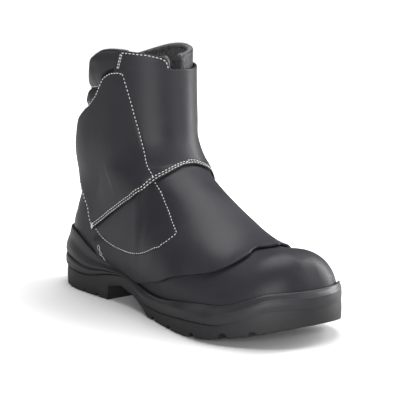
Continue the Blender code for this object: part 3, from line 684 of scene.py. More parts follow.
def thread_material(name, colour):
    """Twisted thread: fine slanting strands and a little dirt."""
    made, tree, shader = material(name, sheen=0.2, specular=0.4)
    where = node(tree, "ShaderNodeTexCoord").outputs["Object"]
    strands = node(
        tree, "ShaderNodeTexWave", {"Vector": where, "Scale": 900.0, "Distortion": 1.5, "Detail": 1.0},
        bands_direction="DIAGONAL",
    ).outputs["Fac"]
    soil = remap(tree, noise_texture(tree, where, 90.0, 4.0, 0.6), 0.35, 0.65)
    clean = mix_colours(tree, remap(tree, strands, 0.1, 0.7), scaled(colour, 0.62), colour)
    tree.links.new(mix_colours(tree, soil, scaled(colour, 0.78), clean), shader.inputs["Base Color"])
    shader.inputs["Roughness"].default_value = 0.65
    bump(tree, shader, strands, 0.5, 0.0001)
    return made


def cut_edge_material(name, colour, groups):
    """Cut edge of thick leather: fibres, dull and slightly browner than the face."""
    made, tree, shader = material(name, specular=0.3)
    where = node(tree, "ShaderNodeTexCoord").outputs["Object"]
    fibres = noise_texture(tree, where, 1500.0, 5.0, 0.7, 0.5)
    dust = placed(tree, groups["dust"], {"Patches": 90.0, "Amount": 0.6})
    base = mix_colours(tree, remap(tree, fibres, 0.3, 0.7), scaled(colour, 0.45), scaled(colour, 0.95))
    tree.links.new(
        mix_colours(tree, times(tree, dust.outputs["Mask"], 0.3), base, (0.10, 0.095, 0.09)),
        shader.inputs["Base Color"],
    )
    shader.inputs["Roughness"].default_value = 0.78
    bump(tree, shader, fibres, 0.6, 0.0003)
    return made


def felt_material(name, colour, groups):
    made, tree, shader = material(name, sheen=0.3, specular=0.2)
    weave = placed(tree, groups["weave"], {"Loops": 420.0})
    where = node(tree, "ShaderNodeTexCoord").outputs["Object"]
    fuzz = noise_texture(tree, where, 900.0, 5.0, 0.7)
    tree.links.new(
        mix_colours(tree, remap(tree, fuzz, 0.3, 0.7), scaled(colour, 0.6), scaled(colour, 1.5)),
        shader.inputs["Base Color"],
    )
    shader.inputs["Roughness"].default_value = 0.95
    bump(tree, shader, math_node(tree, "ADD", fuzz, weave.outputs["Height"]), 0.6, 0.0005)
    return made


def make_materials(context):
    """Every finish of the boot, by name, made once."""
    colours = context.scene.boot_colours
    if "boot_leather" in bpy.data.materials:
        return bpy.data.materials
    groups = {
        "grain": grain_group(), "dust": dust_group(), "weave": weave_group(), "stipple": stipple_group()
    }
    leather = tuple(colours.leather)
    leather_material("boot_leather", leather, groups, 1150.0, 0.08, 0.42, 0.25)
    leather_material("quilt_leather", tuple(colours.quilt), groups, 1500.0, 0.10, 0.42, 0.25)
    cut_edge_material("cut_edge", leather, groups)
    textile_material("lining_knit", tuple(colours.textile), groups, 950.0)
    textile_material("binding_tape", scaled(tuple(colours.textile), 1.1), groups, 1300.0)
    sole_material("middle_sole", tuple(colours.foam), groups, 1500.0, 0.08, 0.42, False)
    sole_material("outer_sole", tuple(colours.rubber), groups, 1100.0, 0.16, 0.50, True)
    felt_material("footbed_felt", tuple(colours.felt), groups)
    thread_material("white_thread", tuple(colours.thread))
    thread_material("grey_cord", scaled(tuple(colours.thread), 0.55))
    return bpy.data.materials


def add_piece(name, points, faces, materials, stands_for=(), marks=None):
    """A piece of the boot from points of the working frame, riding on the frame's body."""
    placed_points = np.array(points, float).reshape(-1, 3)
    placed_points[:, 0] -= REST_X
    mesh = bpy.data.meshes.new(name)
    mesh.from_pydata(placed_points.tolist(), [], [tuple(face) for face in faces])
    for finish in materials:
        mesh.materials.append(finish)
    if marks is not None:
        mesh.polygons.foreach_set("material_index", np.asarray(marks, np.int32))
    mesh.shade_smooth()
    made = bpy.data.objects.new(name, mesh)
    bpy.context.scene.collection.objects.link(made)
    return settle(made, stands_for)


def settle(made, stands_for=()):
    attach(made, "root")
    if stands_for:
        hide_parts(*stands_for)
    return made


def grid_faces(rows, columns, start=0, closed=False, flip=False):
    """Quads of a grid of points, closed round its columns where asked."""
    across = columns if closed else columns - 1
    row, column_index = np.meshgrid(np.arange(rows - 1), np.arange(across), indexing="ij")
    after = (column_index + 1) % columns
    one, two = row * columns + column_index, row * columns + after
    quads = np.stack([one, two, two + columns, one + columns], -1).reshape(-1, 4) + start
    return quads[:, ::-1] if flip else quads


def ring_faces(rows, count):
    """Faces of a closed solid of rings, lowest first, with capped ends."""
    faces = strip_cap(0, count, False)
    faces += grid_faces(rows, count, closed=True).tolist()
    return faces + strip_cap((rows - 1) * count, count, True)


def sheet_faces(rows, columns):
    """Faces of a closed sheet between an inner and an outer grid, and marks that are 1 on its rim."""
    second = rows * columns
    faces = grid_faces(rows, columns, second).tolist() + grid_faces(rows, columns, 0, flip=True).tolist()
    edge = list(range(columns))
    edge += [row * columns + columns - 1 for row in range(1, rows)]
    edge += [(rows - 1) * columns + index for index in range(columns - 2, -1, -1)]
    edge += [row * columns for row in range(rows - 2, 0, -1)]
    marks = [0] * len(faces)
    for one, two in zip(edge, edge[1:] + edge[:1]):
        faces.append((one, two, second + two, second + one))
        marks.append(1)
    return faces, marks


def fine_shares(count, length, close=(0, 0.00015, 0.00035, 0.0006, 0.001, 0.0016)):
    """Shares from 0 to 1, even but for a few close to each end."""
    near = np.array(close) / length
    start = near[-1] + 0.6 / count
    return np.concatenate([near, np.linspace(start, 1 - start, count), 1 - near[::-1]])


def edge_distance(grid):
    """How far each point of a grid lies from the nearest of its four edges, along its rows and columns."""
    along = np.linalg.norm(np.diff(grid, axis=1), axis=-1)
    upward = np.linalg.norm(np.diff(grid, axis=0), axis=-1)
    from_rear = np.concatenate([np.zeros((grid.shape[0], 1)), np.cumsum(along, axis=1)], axis=1)
    from_low = np.concatenate([np.zeros((1, grid.shape[1])), np.cumsum(upward, axis=0)], axis=0)
    sides = [from_rear, from_rear[:, -1:] - from_rear, from_low, from_low[-1:] - from_low]
    return np.min(sides, axis=0)


def rounding(distance, radius):
    """Drop of a surface towards its edge, a quarter round."""
    inward = np.clip(radius - distance, 0, radius)
    return radius - np.sqrt(radius**2 - inward**2)


def line_on_boot(table, count=160, out=0.0):
    """Points, level and angle along a smooth line through level and angle pairs."""
    table = np.array(table, float)
    steps = np.hypot(np.diff(table[:, 0]) * 170, np.diff(table[:, 1]) * 0.9)
    share = np.concatenate([[0], np.cumsum(steps)]) / steps.sum()
    joined = np.column_stack([share, table])
    along = np.linspace(0, 1, count)
    level, angle = column(joined, along, 1), np.radians(column(joined, along, 2))
    return skin(level, angle, np.full(count, out) if out else 0.0), level, angle


def near_line(points, line):
    """Distance of each point to a line of points."""
    flat = points.reshape(-1, 3)
    best = np.full(len(flat), 1e9)
    for start in range(0, len(line), 20):
        part = line[start:start + 20]
        best = np.minimum(best, ((flat[:, None] - part[None]) ** 2).sum(-1).min(axis=1))
    return np.sqrt(best).reshape(points.shape[:-1])


def seam_troughs(points, lines, depth, width=0.0010):
    total = np.zeros(points.shape[:-1])
    for line in lines:
        total = np.maximum(total, np.exp(-((near_line(points, line) / width) ** 2)))
    return -depth * total


def soft_folds(points, panel, strength):
    """Troughs and ridges listed in FOLDS, fading at both ends, over a slow waviness."""
    total = np.zeros(points.shape[:-1])
    for owner, table, width, depth in FOLDS:
        if owner != panel:
            continue
        line, _, _ = line_on_boot(table, 40)
        ends = np.minimum(near_line(points, line[:1]), near_line(points, line[-1:]))
        span = np.linalg.norm(line[0] - line[-1])
        shape = np.exp(-((near_line(points, line) / (width / 1000)) ** 2))
        total += depth / 1000 * shape * smooth(0, 0.35 * span, ends)
    waves = [noise.noise(Vector(point) * 26) for point in points.reshape(-1, 3)]
    return strength * (total + 0.00018 * np.array(waves).reshape(total.shape))


def inset_line(grid, side, inset):
    """Points of a grid a set distance in from its rear, lower, upper or front edge."""
    turned = {"rear": grid, "front": grid[:, ::-1], "lower": grid.transpose(1, 0, 2),
              "upper": grid[::-1].transpose(1, 0, 2)}[side]
    steps = np.linalg.norm(np.diff(turned, axis=1), axis=-1)
    run = np.concatenate([np.zeros((len(turned), 1)), np.cumsum(steps, axis=1)], axis=1)
    line = [
        [np.interp(inset, run[row], turned[row, :, axis]) for axis in range(3)] for row in range(len(turned))
    ]
    return np.array(line)


def surface_of(*objects):
    """Search tree over the meshes of some pieces, in the working frame."""
    points, faces = [], []
    for made in objects:
        start = len(points)
        points += [(v.co.x + REST_X, v.co.y, v.co.z) for v in made.data.vertices]
        faces += [tuple(start + index for index in face.vertices) for face in made.data.polygons]
    return BVHTree.FromPolygons(points, faces)


def drop_on(tree, points, normals, reach=0.02):
    """Where lines drawn in along the normals meet a surface, and its normals there."""
    hits, facing = [], []
    for point, normal in zip(points, normals):
        start = Vector(point) + Vector(normal) * reach
        hit, face_normal, _, _ = tree.ray_cast(start, -Vector(normal), 2 * reach)
        if hit is None:
            hit, face_normal = Vector(point), Vector(normal)
        if face_normal.dot(Vector(normal)) < 0:
            face_normal = -face_normal
        hits.append(tuple(hit))
        facing.append(tuple(face_normal))
    return np.array(hits), np.array(facing)


def resampled(line, pitch):
    """Points at even steps along a line, and how many steps fit."""
    steps = np.linalg.norm(np.diff(line, axis=0), axis=-1)
    run = np.concatenate([[0], np.cumsum(steps)])

    def at(distance):
        return np.stack([np.interp(distance, run, line[:, axis]) for axis in range(3)], -1)

    return at, run[-1], max(1, int(round(run[-1] / pitch)))


def tube_rings(path, radii, normals, sides=8):
    """Rings of points round a path, one ring for each of its points."""
    tangent = np.gradient(path, axis=0)
    tangent /= np.linalg.norm(tangent, axis=1, keepdims=True)
    side = np.cross(tangent, normals)
    side /= np.linalg.norm(side, axis=1, keepdims=True)
    upward = np.cross(side, tangent)
    turn = np.linspace(0, 2 * math.pi, sides, endpoint=False)
    circle = np.cos(turn)[None, :, None] * side[:, None] + np.sin(turn)[None, :, None] * upward[:, None]
    return path[:, None] + np.asarray(radii)[:, None, None] * circle


def tube_faces(rows, sides, start, closed=False):
    faces = grid_faces(rows, sides, start, closed=True, flip=True).tolist()
    if closed:
        last = start + (rows - 1) * sides
        for index in range(sides):
            after = (index + 1) % sides
            faces.append((start + index, start + after, last + after, last + index))
        return faces
    faces.append(list(range(start, start + sides)))
    faces.append(list(range(start + (rows - 1) * sides, start + rows * sides))[::-1])
    return faces


def sew(rows, tree, thread):
    """Points and faces of the stitches of some rows: each a line, its outward normals, pitch and dash."""
    points, faces = [], []
    profile = np.array([-1.0, -0.86, -0.6, 0.0, 0.6, 0.86, 1.0])
    lift = np.array([-0.75, -0.15, 0.25, 0.38, 0.25, -0.15, -0.75])
    swell = np.array([0.55, 0.85, 1.0, 1.0, 1.0, 0.85, 0.55])
    for line, normals, pitch, dash in rows:
        at, length, count = resampled(line, pitch)
        facing, _, _ = resampled_normals(line, normals)
        step = length / count
        for index in range(count):
            middle = (index + 0.5) * step
            distance = middle + profile * 0.5 * dash * step
            hits, out = drop_on(tree, at(distance), facing(distance))
            path = hits + out * (lift * thread)[:, None]
            rings = tube_rings(path, swell * thread, out)
            faces += tube_faces(len(profile), 8, len(points))
            points += rings.reshape(-1, 3).tolist()
    return points, faces


def resampled_normals(line, normals):
    steps = np.linalg.norm(np.diff(line, axis=0), axis=-1)
    run = np.concatenate([[0], np.cumsum(steps)])

    def at(distance):
        found = np.stack([np.interp(distance, run, normals[:, axis]) for axis in range(3)], -1)
        return found / np.linalg.norm(found, axis=-1, keepdims=True)

    return at, run[-1], len(run)


def shaft_grid():
    """Grids of the flap's tall panel: level, angle and how far it is lifted off the upper."""
    across, up = fine_shares(PANEL_COLUMNS, 0.26), fine_shares(PANEL_ROWS, 0.085)
    level, angle = patch(SHAFT_LOWER, SHAFT_UPPER, SHAFT_REAR, across, up)
    near_rear = 1 - smooth(0, 0.25, across)[None, :]
    wing = WING_RISE * column(WING, up)[:, None] * near_rear
    lap = (FLAP + 2 * GAP) * (1 - smooth(0.10, 0.46, up))[:, None]
    return level, angle, np.maximum(wing, lap)


def instep_grid():
    across, up = fine_shares(PANEL_COLUMNS, 0.30), fine_shares(PANEL_ROWS, 0.075)
    beyond = [(1.10, 0.51, 272.0), (1.20, 0.41, 291.0), (1.26, 0.32, 302.0)]
    seam = np.concatenate([SHAFT_LOWER, beyond])
    seam[:, 0] /= seam[-1, 0]
    seam[:, 1] += LAP * (1 - seam[:, 0])
    lower = INSTEP_LOWER.copy()
    least = level_at(lambda x: rim(x) + 5 * GAP, np.radians(lower[:, 2])) + 0.004
    lower[:, 1] = np.maximum(lower[:, 1], least)
    lower[0, 2] = 58.5
    rear = np.array([
        (0.0, lower[0, 1], 58.5), (0.35, 0.15, 54.5), (0.7, 0.25, 54.5), (1.0, seam[0, 1], 55.0),
    ])
    level, angle = patch(lower, seam, rear, across, up)
    stand = 0.0017 * smooth(0.0, 0.12, up) * smooth(0.62, 0.4, up)
    return level, angle, stand[:, None] * (1 - smooth(0, 0.06, across))[None, :]


def edge_raise(panel, level, angle):
    """How far the tall panel's top edge stands up beside the padding."""
    turn = np.degrees(angle)
    if panel != "shaft":
        return np.zeros(level.shape)
    return TOP_RAISE * smooth(0.90, 0.995, level) * smooth(168, 140, turn) * smooth(104, 113, turn)


def leather_panel(name, panel, level, angle, lift, seams, context, stands_for):
    """A thick leather panel with rounded edges, sunk seams and soft folds."""
    size, finishes = context.scene.boot_sizes, make_materials(context)
    normal = outward(level, angle)
    base = skin(level, angle)
    base[..., 2] += edge_raise(panel, level, angle)
    middle = base + (SLACK + FLAP + lift)[..., None] * normal
    edge = edge_distance(middle)
    drop = rounding(edge, size.edge_round)
    folds = soft_folds(middle, panel, size.folds) * smooth(0.001, 0.012, edge)
    relief = seam_troughs(middle, seams, size.trough)
    inner = np.maximum(SLACK + lift + drop + folds, 0.4 * SLACK)
    outer = SLACK + FLAP + lift - drop + folds + relief
    inside, outside = base + inner[..., None] * normal, base + outer[..., None] * normal
    faces, marks = sheet_faces(*level.shape)
    points = np.concatenate([inside.reshape(-1, 3), outside.reshape(-1, 3)])
    return add_piece(
        name, points, faces, [finishes["boot_leather"], finishes["cut_edge"]], stands_for, marks
    ), outside


def plain_normals(line):
    """Outward direction of points near the upper, from the boot's own surface."""
    shares = np.linspace(0, 1, 61)
    turns = np.radians(np.linspace(-180, 180, 181))
    points, normals = skin(shares[:, None], turns[None]), outward(shares[:, None], turns[None])
    flat, facing = points.reshape(-1, 3), normals.reshape(-1, 3)
    found = [((flat - point) ** 2).sum(-1).argmin() for point in line]
    return facing[found]


def seam_lines():
    """Stitched lines that lie on the flap, as points a flap's thickness off the upper."""
    found = {}
    for name, panel, table in (
        ("leaf", "shaft", LEAF_SEAM), ("leaf_low", "instep", LEAF_SEAM_LOW), ("arc", "instep", ARC_SEAM),
        ("collar", "shaft", COLLAR_SEAM), ("upright", "shaft", UPRIGHT_SEAM),
        ("beside", "shaft", [(level, angle + 1.9) for level, angle in UPRIGHT_SEAM]),
    ):
        line, level, angle = line_on_boot(table, 160, SLACK + FLAP)
        line[:, 2] += edge_raise(panel, level, angle)
        found[name] = line
    return found


class BOOT_OT_upper(bpy.types.Operator):
    """Build the leather upper with its lining and rolled edges"""

    bl_idname = "boot.build_upper"
    bl_label = "Upper"

    def execute(self, context):
        size, finishes = context.scene.boot_sizes, make_materials(context)
        angle = ring_angles(size.around)
        level = np.concatenate([np.linspace(0, 0.985, 112), [0.990, 0.994, 0.997, 0.999, 1.0]])
        level_grid, angle_grid = np.meshgrid(level, angle, indexing="ij")
        base, normal = skin(level_grid, angle_grid), outward(level_grid, angle_grid)
        top = np.linalg.norm(base - base[-1:], axis=-1)
        drop = rounding(top, 0.45 * WALL)
        folds = soft_folds(base, "upper", size.folds)
        folds = folds * smooth(0.10, 0.2, level_grid) * smooth(0.99, 0.93, level_grid)
        bulge = 0.0014 * smooth(0.86, 0.93, level_grid) * smooth(1.0, 0.975, level_grid)
        outer = base + (folds - drop)[..., None] * normal
        inner = base + (folds - WALL + drop - bulge)[..., None] * normal
        rows, count = level_grid.shape
        second = rows * count
        faces = grid_faces(rows, count, 0, closed=True).tolist()
        marks = [0] * len(faces)
        faces += grid_faces(rows, count, second, closed=True, flip=True).tolist()
        marks += [1] * (len(faces) - len(marks))
        for index in range(count):
            after = (index + 1) % count
            faces.append((after, index, second + index, second + after))
            high = (rows - 1) * count
            faces.append((high + index, high + after, second + high + after, second + high + index))
            marks += [0, 1]
        points = np.concatenate([outer.reshape(-1, 3), inner.reshape(-1, 3)])
        upper = add_piece(
            "upper_leather", points, faces, [finishes["boot_leather"], finishes["lining_knit"]], ("upper",),
            marks
        )
        whole = surface_of(upper)
        outline = cut_throat(upper)
        bind_throat(outline, whole, size.binding, finishes["binding_tape"])
        bind_collar(size.binding, finishes["binding_tape"])
        return {"FINISHED"}


def throat_outline():
    """The throat's opening seen from the front, as y and z."""
    near, far = -0.056 * BALL_WIDTH, 0.091 * BALL_WIDTH
    low, high = 0.74 * COLLAR_HEIGHT, 1.2 * COLLAR_HEIGHT
    corner, corner_z = 0.07 * BALL_WIDTH, 0.965 * COLLAR_HEIGHT
    middle, radius = (near + far) / 2, (far - near) / 2
    outline = [(near, corner_z)]
    for turn in np.linspace(math.pi, 2 * math.pi, 25):
        outline.append((middle + radius * math.cos(turn), low + radius * math.sin(turn)))
    outline += [(far, high), (near - corner, high)]
    for turn in np.linspace(math.pi / 2, 0, 14)[:-1]:
        outline.append((near - corner + corner * math.cos(turn), corner_z + corner * math.sin(turn)))
    return outline


def cut_throat(upper):
    """Cuts the throat's opening out of the front wall."""
    outline = throat_outline()
    count = len(outline)
    near_x, far_x = 0.385 * LENGTH - REST_X, 0.515 * LENGTH - REST_X
    points = [(near_x, y, z) for y, z in outline] + [(far_x, y, z) for y, z in outline]
    faces = [list(range(count))[::-1], list(range(count, 2 * count))]
    for index in range(count):
        after = (index + 1) % count
        faces.append((index, after, count + after, count + index))
    subtract(upper, "throat_form", points, faces)
    return outline


def subtract(target, name, points, faces):
    """Takes a form, given in the row's frame, out of a piece for good."""
    mesh = bpy.data.meshes.new(name)
    mesh.from_pydata([tuple(point) for point in points], [], [tuple(face) for face in faces])
    mesh.validate()
    cutter = bpy.data.objects.new(name, mesh)
    bpy.context.scene.collection.objects.link(cutter)
    face_out(cutter)
    boolean = target.modifiers.new(name, "BOOLEAN")
    boolean.operation = "DIFFERENCE"
    boolean.solver = "EXACT"
    boolean.object = cutter
    graph = bpy.context.evaluated_depsgraph_get()
    cut = bpy.data.meshes.new_from_object(target.evaluated_get(graph))
    target.modifiers.clear()
    old, target.data = target.data, cut
    bpy.data.meshes.remove(old)
    bpy.data.objects.remove(cutter)
    cut.name = target.name


def face_out(made):
    """Turns a closed mesh's faces outward."""
    made.data.calc_loop_triangles()
    volume = 0.0
    for triangle in made.data.loop_triangles:
        a, b, c = (made.data.vertices[index].co for index in triangle.vertices)
        volume += a.dot(b.cross(c))
    if volume < 0:
        made.data.flip_normals()


def bind_throat(outline, whole, radius, finish):
    """Rolled tape along the throat's cut edge."""
    path, normals = [], []
    outline = np.array(outline)
    closed = np.concatenate([outline[28:], outline[:27]])
    closed[:, 1] = np.minimum(closed[:, 1], COLLAR_HEIGHT * 1.02)
    at, length, _ = resampled(np.column_stack([np.zeros(len(closed)), closed]), 0.001)
    for point in at(np.linspace(0, length, 150)):
        in_front = Vector((0.56 * LENGTH, point[1], point[2]))
        hit, normal, _, _ = whole.ray_cast(in_front, Vector((-1, 0, 0)), 0.2)
        if hit is None or hit.x < 0.36 * LENGTH:
            continue
        path.append(tuple(hit - normal * 0.5 * WALL))
        normals.append(tuple(normal))
    path, normals = np.array(path), np.array(normals)
    rings = tube_rings(path, np.full(len(path), radius + 0.5 * GAP), normals, 14)
    add_piece("throat_binding", rings, tube_faces(len(path), 14, 0), [finish], ())


def bind_collar(radius, finish):
    """Soft rolled edge of the lining round the inside of the collar."""
    angle = np.radians(np.linspace(-171, 160, 331))
    normal = outward(np.full(len(angle), 0.995), angle)
    path = skin(np.full(len(angle), 0.996), angle) - normal * (WALL + 0.0001)
    rings = tube_rings(path, np.full(len(path), 1.5 * radius), normal, 16)
    add_piece("collar_binding", rings, tube_faces(len(path), 14, 0), [finish], ())


class BOOT_OT_collar(bpy.types.Operator):
    """Build the quilted rear collar with its puckered rolls"""

    bl_idname = "boot.build_collar"
    bl_label = "Padded collar"

    def execute(self, context):
        size, finishes = context.scene.boot_sizes, make_materials(context)
        angle = np.radians(np.linspace(-PAD_END, PAD_END, 300))
        degrees = np.degrees(angle)
        wing = SHAFT_UPPER[:8, [2, 1]]
        lowest, high = PAD_SECTION[[0, -1], 0]
        low = np.where(degrees > wing[0, 0], column(wing, degrees) + 0.005, lowest)
        low = np.maximum(low, lowest + 0.018 * smooth(28, 44, degrees))
        share = fine_shares(64, 0.025)[:, None]
        level = low + (high - low) * share
        turned = np.broadcast_to(angle, level.shape)
        ends = 0.45 + 0.55 * smooth(0, 16, PAD_END - np.abs(np.degrees(turned)))
        edge = np.sqrt(np.clip(np.minimum(share, 1 - share) / 0.08, 0, 1)) * 0.9 + 0.1
        thick = PADDING * column(PAD_SECTION, level) * ends * edge
        run = np.cumsum(np.concatenate([[0], np.linalg.norm(np.diff(skin(0.93, angle), axis=0), axis=1)]))
        waves = np.sin(run / 0.0052 * 2 * math.pi) * 0.6 + np.sin(run / 0.0083 * 2 * math.pi + 1.1) * 0.4
        close = np.exp(-(((level - 0.922) / 0.016) ** 2)) * (1 - np.exp(-(((level - 0.922) / 0.004) ** 2)))
        thick = thick + size.pucker * waves[None, :] * close * ends
        wrinkle = np.array([noise.noise(Vector(p) * 90) for p in skin(level, turned).reshape(-1, 3)])
        thick = thick + 0.00035 * wrinkle.reshape(level.shape) * ends * edge
        inside = skin(level, turned, np.full(level.shape, 2 * GAP))
        outside = skin(level, turned, 2 * GAP + np.maximum(thick, 0.0002))
        faces, _ = sheet_faces(*level.shape)
        points = np.concatenate([inside.reshape(-1, 3), outside.reshape(-1, 3)])
        quilt = add_piece(
            "collar_quilt", points, faces, [finishes["quilt_leather"]], ("collar_padding",)
        )
        line = line_on_boot(QUILT_SEAM, 300, 0.001)[0]
        points, faces = sew([(line, plain_normals(line), 0.0032, 0.6)], surface_of(quilt), 0.9 * size.thread)
        add_piece("collar_stitches", points, faces, [finishes["white_thread"]], ())
        return {"FINISHED"}


class BOOT_OT_flap(bpy.types.Operator):
    """Build the flap's two leather panels and sew them"""

    bl_idname = "boot.build_flap"
    bl_label = "Flap and stitches"

    def execute(self, context):
        size, finishes = context.scene.boot_sizes, make_materials(context)
        lines = seam_lines()
        level, angle, lift = shaft_grid()
        plain = skin(level, angle, SLACK + FLAP + lift)
        plain[..., 2] += edge_raise("shaft", level, angle)
        rear = inset_line(plain, "rear", EDGE_INSET)
        low = [inset_line(plain, "lower", 0.0011), inset_line(plain, "lower", 0.0034)]
        on_shaft = [rear, *low, lines["leaf"], lines["collar"], lines["upright"], lines["beside"]]
        shaft, _ = leather_panel(
            "flap_shaft_leather", "shaft", level, angle, lift, on_shaft, context, ("flap_shaft",)
        )
        level, angle, lift = instep_grid()
        on_instep = [lines["leaf_low"], lines["arc"]]
        instep, _ = leather_panel(
            "flap_instep_leather", "instep", level, angle, lift, on_instep, context, ("flap_instep",)
        )
        single, double = size.single_pitch, size.double_pitch
        share = fine_shares(PANEL_COLUMNS, 0.26)
        upper_edge = inset_line(plain, "upper", EDGE_INSET)[(share > 0.006) & (share < 0.236)]
        wing_top = np.concatenate([upper_edge, line_on_boot(CROSS_SEAM, 20, SLACK + FLAP)[0]])
        shaft_rows = [
            (rear, single, 0.50), (wing_top, 0.0032, 0.58), (low[0], double, 0.54), (low[1], double, 0.54),
            (lines["leaf"], single, size.dash), (lines["collar"], single, 0.58),
            (lines["upright"], 0.0028, 0.6), (lines["beside"], 0.0028, 0.6),
        ]
        instep_rows = [(lines["leaf_low"], single, size.dash), (lines["arc"], single, size.dash)]
        for start in (0.0004, 0.0012, 0.0020, 0.0028):
            tack_sides = ((low[0], 0.0), (low[1], 0.0009))
            ends = [resampled(line, 0.001)[0](start + more) for line, more in tack_sides]
            away = 0.35 * (ends[1] - ends[0])
            shaft_rows.append((np.array([ends[0] - away, ends[1] + away]), 0.01, 1.0))
        for name, rows, target in (
            ("shaft_stitches", shaft_rows, shaft), ("instep_stitches", instep_rows, instep)
        ):
            sewn = [(line, plain_normals(line), pitch, dash) for line, pitch, dash in rows]
            points, faces = sew(sewn, surface_of(target), size.thread)
            add_piece(name, points, faces, [finishes["white_thread"]], ())
        add_chain(surface_of(instep), size.thread, finishes["grey_cord"])
        return {"FINISHED"}


def add_chain(tree, thread, finish):
    """Loose thread end at the flap's lower rear edge, drawn in two small loops and a tail."""
    spot, _, _ = line_on_boot([(0.150, 58.4), (0.104, 59.9), (0.068, 62.0)], 60, SLACK + FLAP)
    normals = plain_normals(spot)
    turn = np.linspace(0, 1, 110)
    at, length, _ = resampled(spot, 0.001)
    path = at(np.clip(0.5 - 0.5 * np.cos(2 * math.pi * turn), 0, 1) * 0.62 * length)
    facing = resampled_normals(spot, normals)[0](np.linspace(0, length, len(turn)))
    along = (spot[-1] - spot[0]) / np.linalg.norm(spot[-1] - spot[0])
    side = np.cross(facing, along)
    wave = 0.0014 * np.sin(4 * math.pi * turn)
    path = path + side * wave[:, None]
    tail = at(np.linspace(0.62, 1.0, 14) * length)
    for line, name in ((path, "chain_loops"), (tail, "chain_tail")):
        hits, out = drop_on(tree, line, plain_normals(line))
        lift = thread * (0.6 + 0.5 * (np.arange(len(line)) > len(line) / 2))
        rings = tube_rings(hits + out * lift[:, None], np.full(len(line), 0.9 * thread), out, 8)
        add_piece(name, rings, tube_faces(len(line), 8, 0), [finish], ())


class BOOT_OT_sole(bpy.types.Operator):
    """Build the moulded middle sole, the lugged outer sole and the footbed's felt"""

    bl_idname = "boot.build_sole"
    bl_label = "Sole"

    def execute(self, context):
        finishes = make_materials(context)
        build_middle_sole(finishes["middle_sole"])
        build_outer_sole(finishes["outer_sole"])
        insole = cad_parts["insole"]
        insole.data.materials.clear()
        insole.data.materials.append(finishes["footbed_felt"])
        return {"FINISHED"}


def build_middle_sole(finish):
    angle = ring_angles(SOLE_COLUMNS, BREAST)
    plan = sole_outline(angle)
    x = plan[:, 0]
    part, top = sole_height(x, 3), rim(x)
    level = level_at(rim, angle)
    meet, normal = skin(level, angle), outward(level, angle)
    flat = normal[:, :2] / np.linalg.norm(normal[:, :2], axis=1, keepdims=True)
    lip = meet[:, :2] + flat * (GAP + LIP)
    heel = 1 - smooth(0.24, 0.42, x / LENGTH)
    closed = smooth(0.80, 0.90, x / LENGTH)
    part = part - 2 * GAP * closed
    rings = [
        np.column_stack([sole_outline(angle, -CORE - 2 * GAP), sole_height(x, 2) + GAP]),
        np.column_stack([sole_outline(angle, -SHELF - 2 * GAP), part + GAP]),
    ]
    for share in np.concatenate([[0, 0.015], np.linspace(0.03, 0.97, 48), [0.985, 1.0]]):
        at_heel, at_front, inward = (column(MIDSOLE_SIDE, np.array(share), index) for index in (1, 2, 3))
        at_toe = at_front + (0.10 + 0.2 * share - at_front) * closed * (share < 0.6)
        out = LIP * (at_heel * heel + at_toe * (1 - heel))
        side = sole_outline(angle, out) * (1 - inward) + lip * inward
        rings.append(np.column_stack([side, part + GAP + (top - part - GAP) * share]))
    crown = np.column_stack([meet[:, :2] + flat * (GAP + 0.5 * LIP), top + 0.00035])
    rings.append(crown)
    for down in np.linspace(1, 0, 14):
        ring = skin(level * down, angle, np.full(angle.shape, GAP))
        if down == 0:
            ring[:, 2] = bed(ring[:, 0]) - 2 * GAP
        rings.append(ring)
    points = np.concatenate(rings)
    add_piece("midsole_foam", points, ring_faces(len(rings), len(angle)), [finish], ("midsole",))


def build_outer_sole(finish):
    angle = ring_angles(SOLE_COLUMNS, BREAST)
    plan = sole_outline(angle)
    low, part = underside(plan[:, 0]), sole_height(plan[:, 0], 3)
    rings = []
    for turn in np.linspace(0, math.pi / 2, 6):
        rings.append((-0.5 * LIP * (1 - math.sin(turn)), low + 0.5 * LIP * (1 - math.cos(turn))))
    for share in np.linspace(0.1, 1, 10):
        swell = 0.15 * LIP * math.sin(math.pi * share)
        rings.append((swell, low + 0.5 * LIP + (part - 0.25 * LIP - low - 0.5 * LIP) * share))
    open_part = 1 - smooth(0.80, 0.90, plan[:, 0] / LENGTH)
    for turn in np.linspace(0.3, math.pi / 2, 4):
        drawn_in = -0.35 * LIP * (1 - math.cos(turn)) * open_part
        rings.append((drawn_in, part - 0.25 * LIP * (1 - math.sin(turn))))
    rings.append((-SHELF, part))
    rings.append((-CORE, sole_height(plan[:, 0], 2)))
    solid = [np.column_stack([sole_outline(angle, out), height]) for out, height in rings]
    outsole = add_piece(
        "outsole_rubber", np.concatenate(solid), ring_faces(len(solid), len(angle)), [finish],
        ("outsole",)
    )
    points, faces = [], []
    for share, half in GROOVES:
        start = len(points)
        turns = np.linspace(0, 2 * math.pi, 28, endpoint=False)
        middle = underside(share * LENGTH) - 2 * GAP
        for y in (-0.75 * BALL_WIDTH, 0.75 * BALL_WIDTH):
            for turn in turns:
                reach = half * LENGTH
                points.append(
                    (share * LENGTH - REST_X + reach * math.cos(turn), y, middle + 1.35 * reach * math.sin(turn))
                )
        count = len(turns)
        faces.append(list(range(start, start + count)))
        faces.append(list(range(start + count, start + 2 * count))[::-1])
        for index in range(count):
            after = (index + 1) % count
            faces.append((start + after, start + index, start + count + index, start + count + after))
    subtract(outsole, "grooves", points, faces)


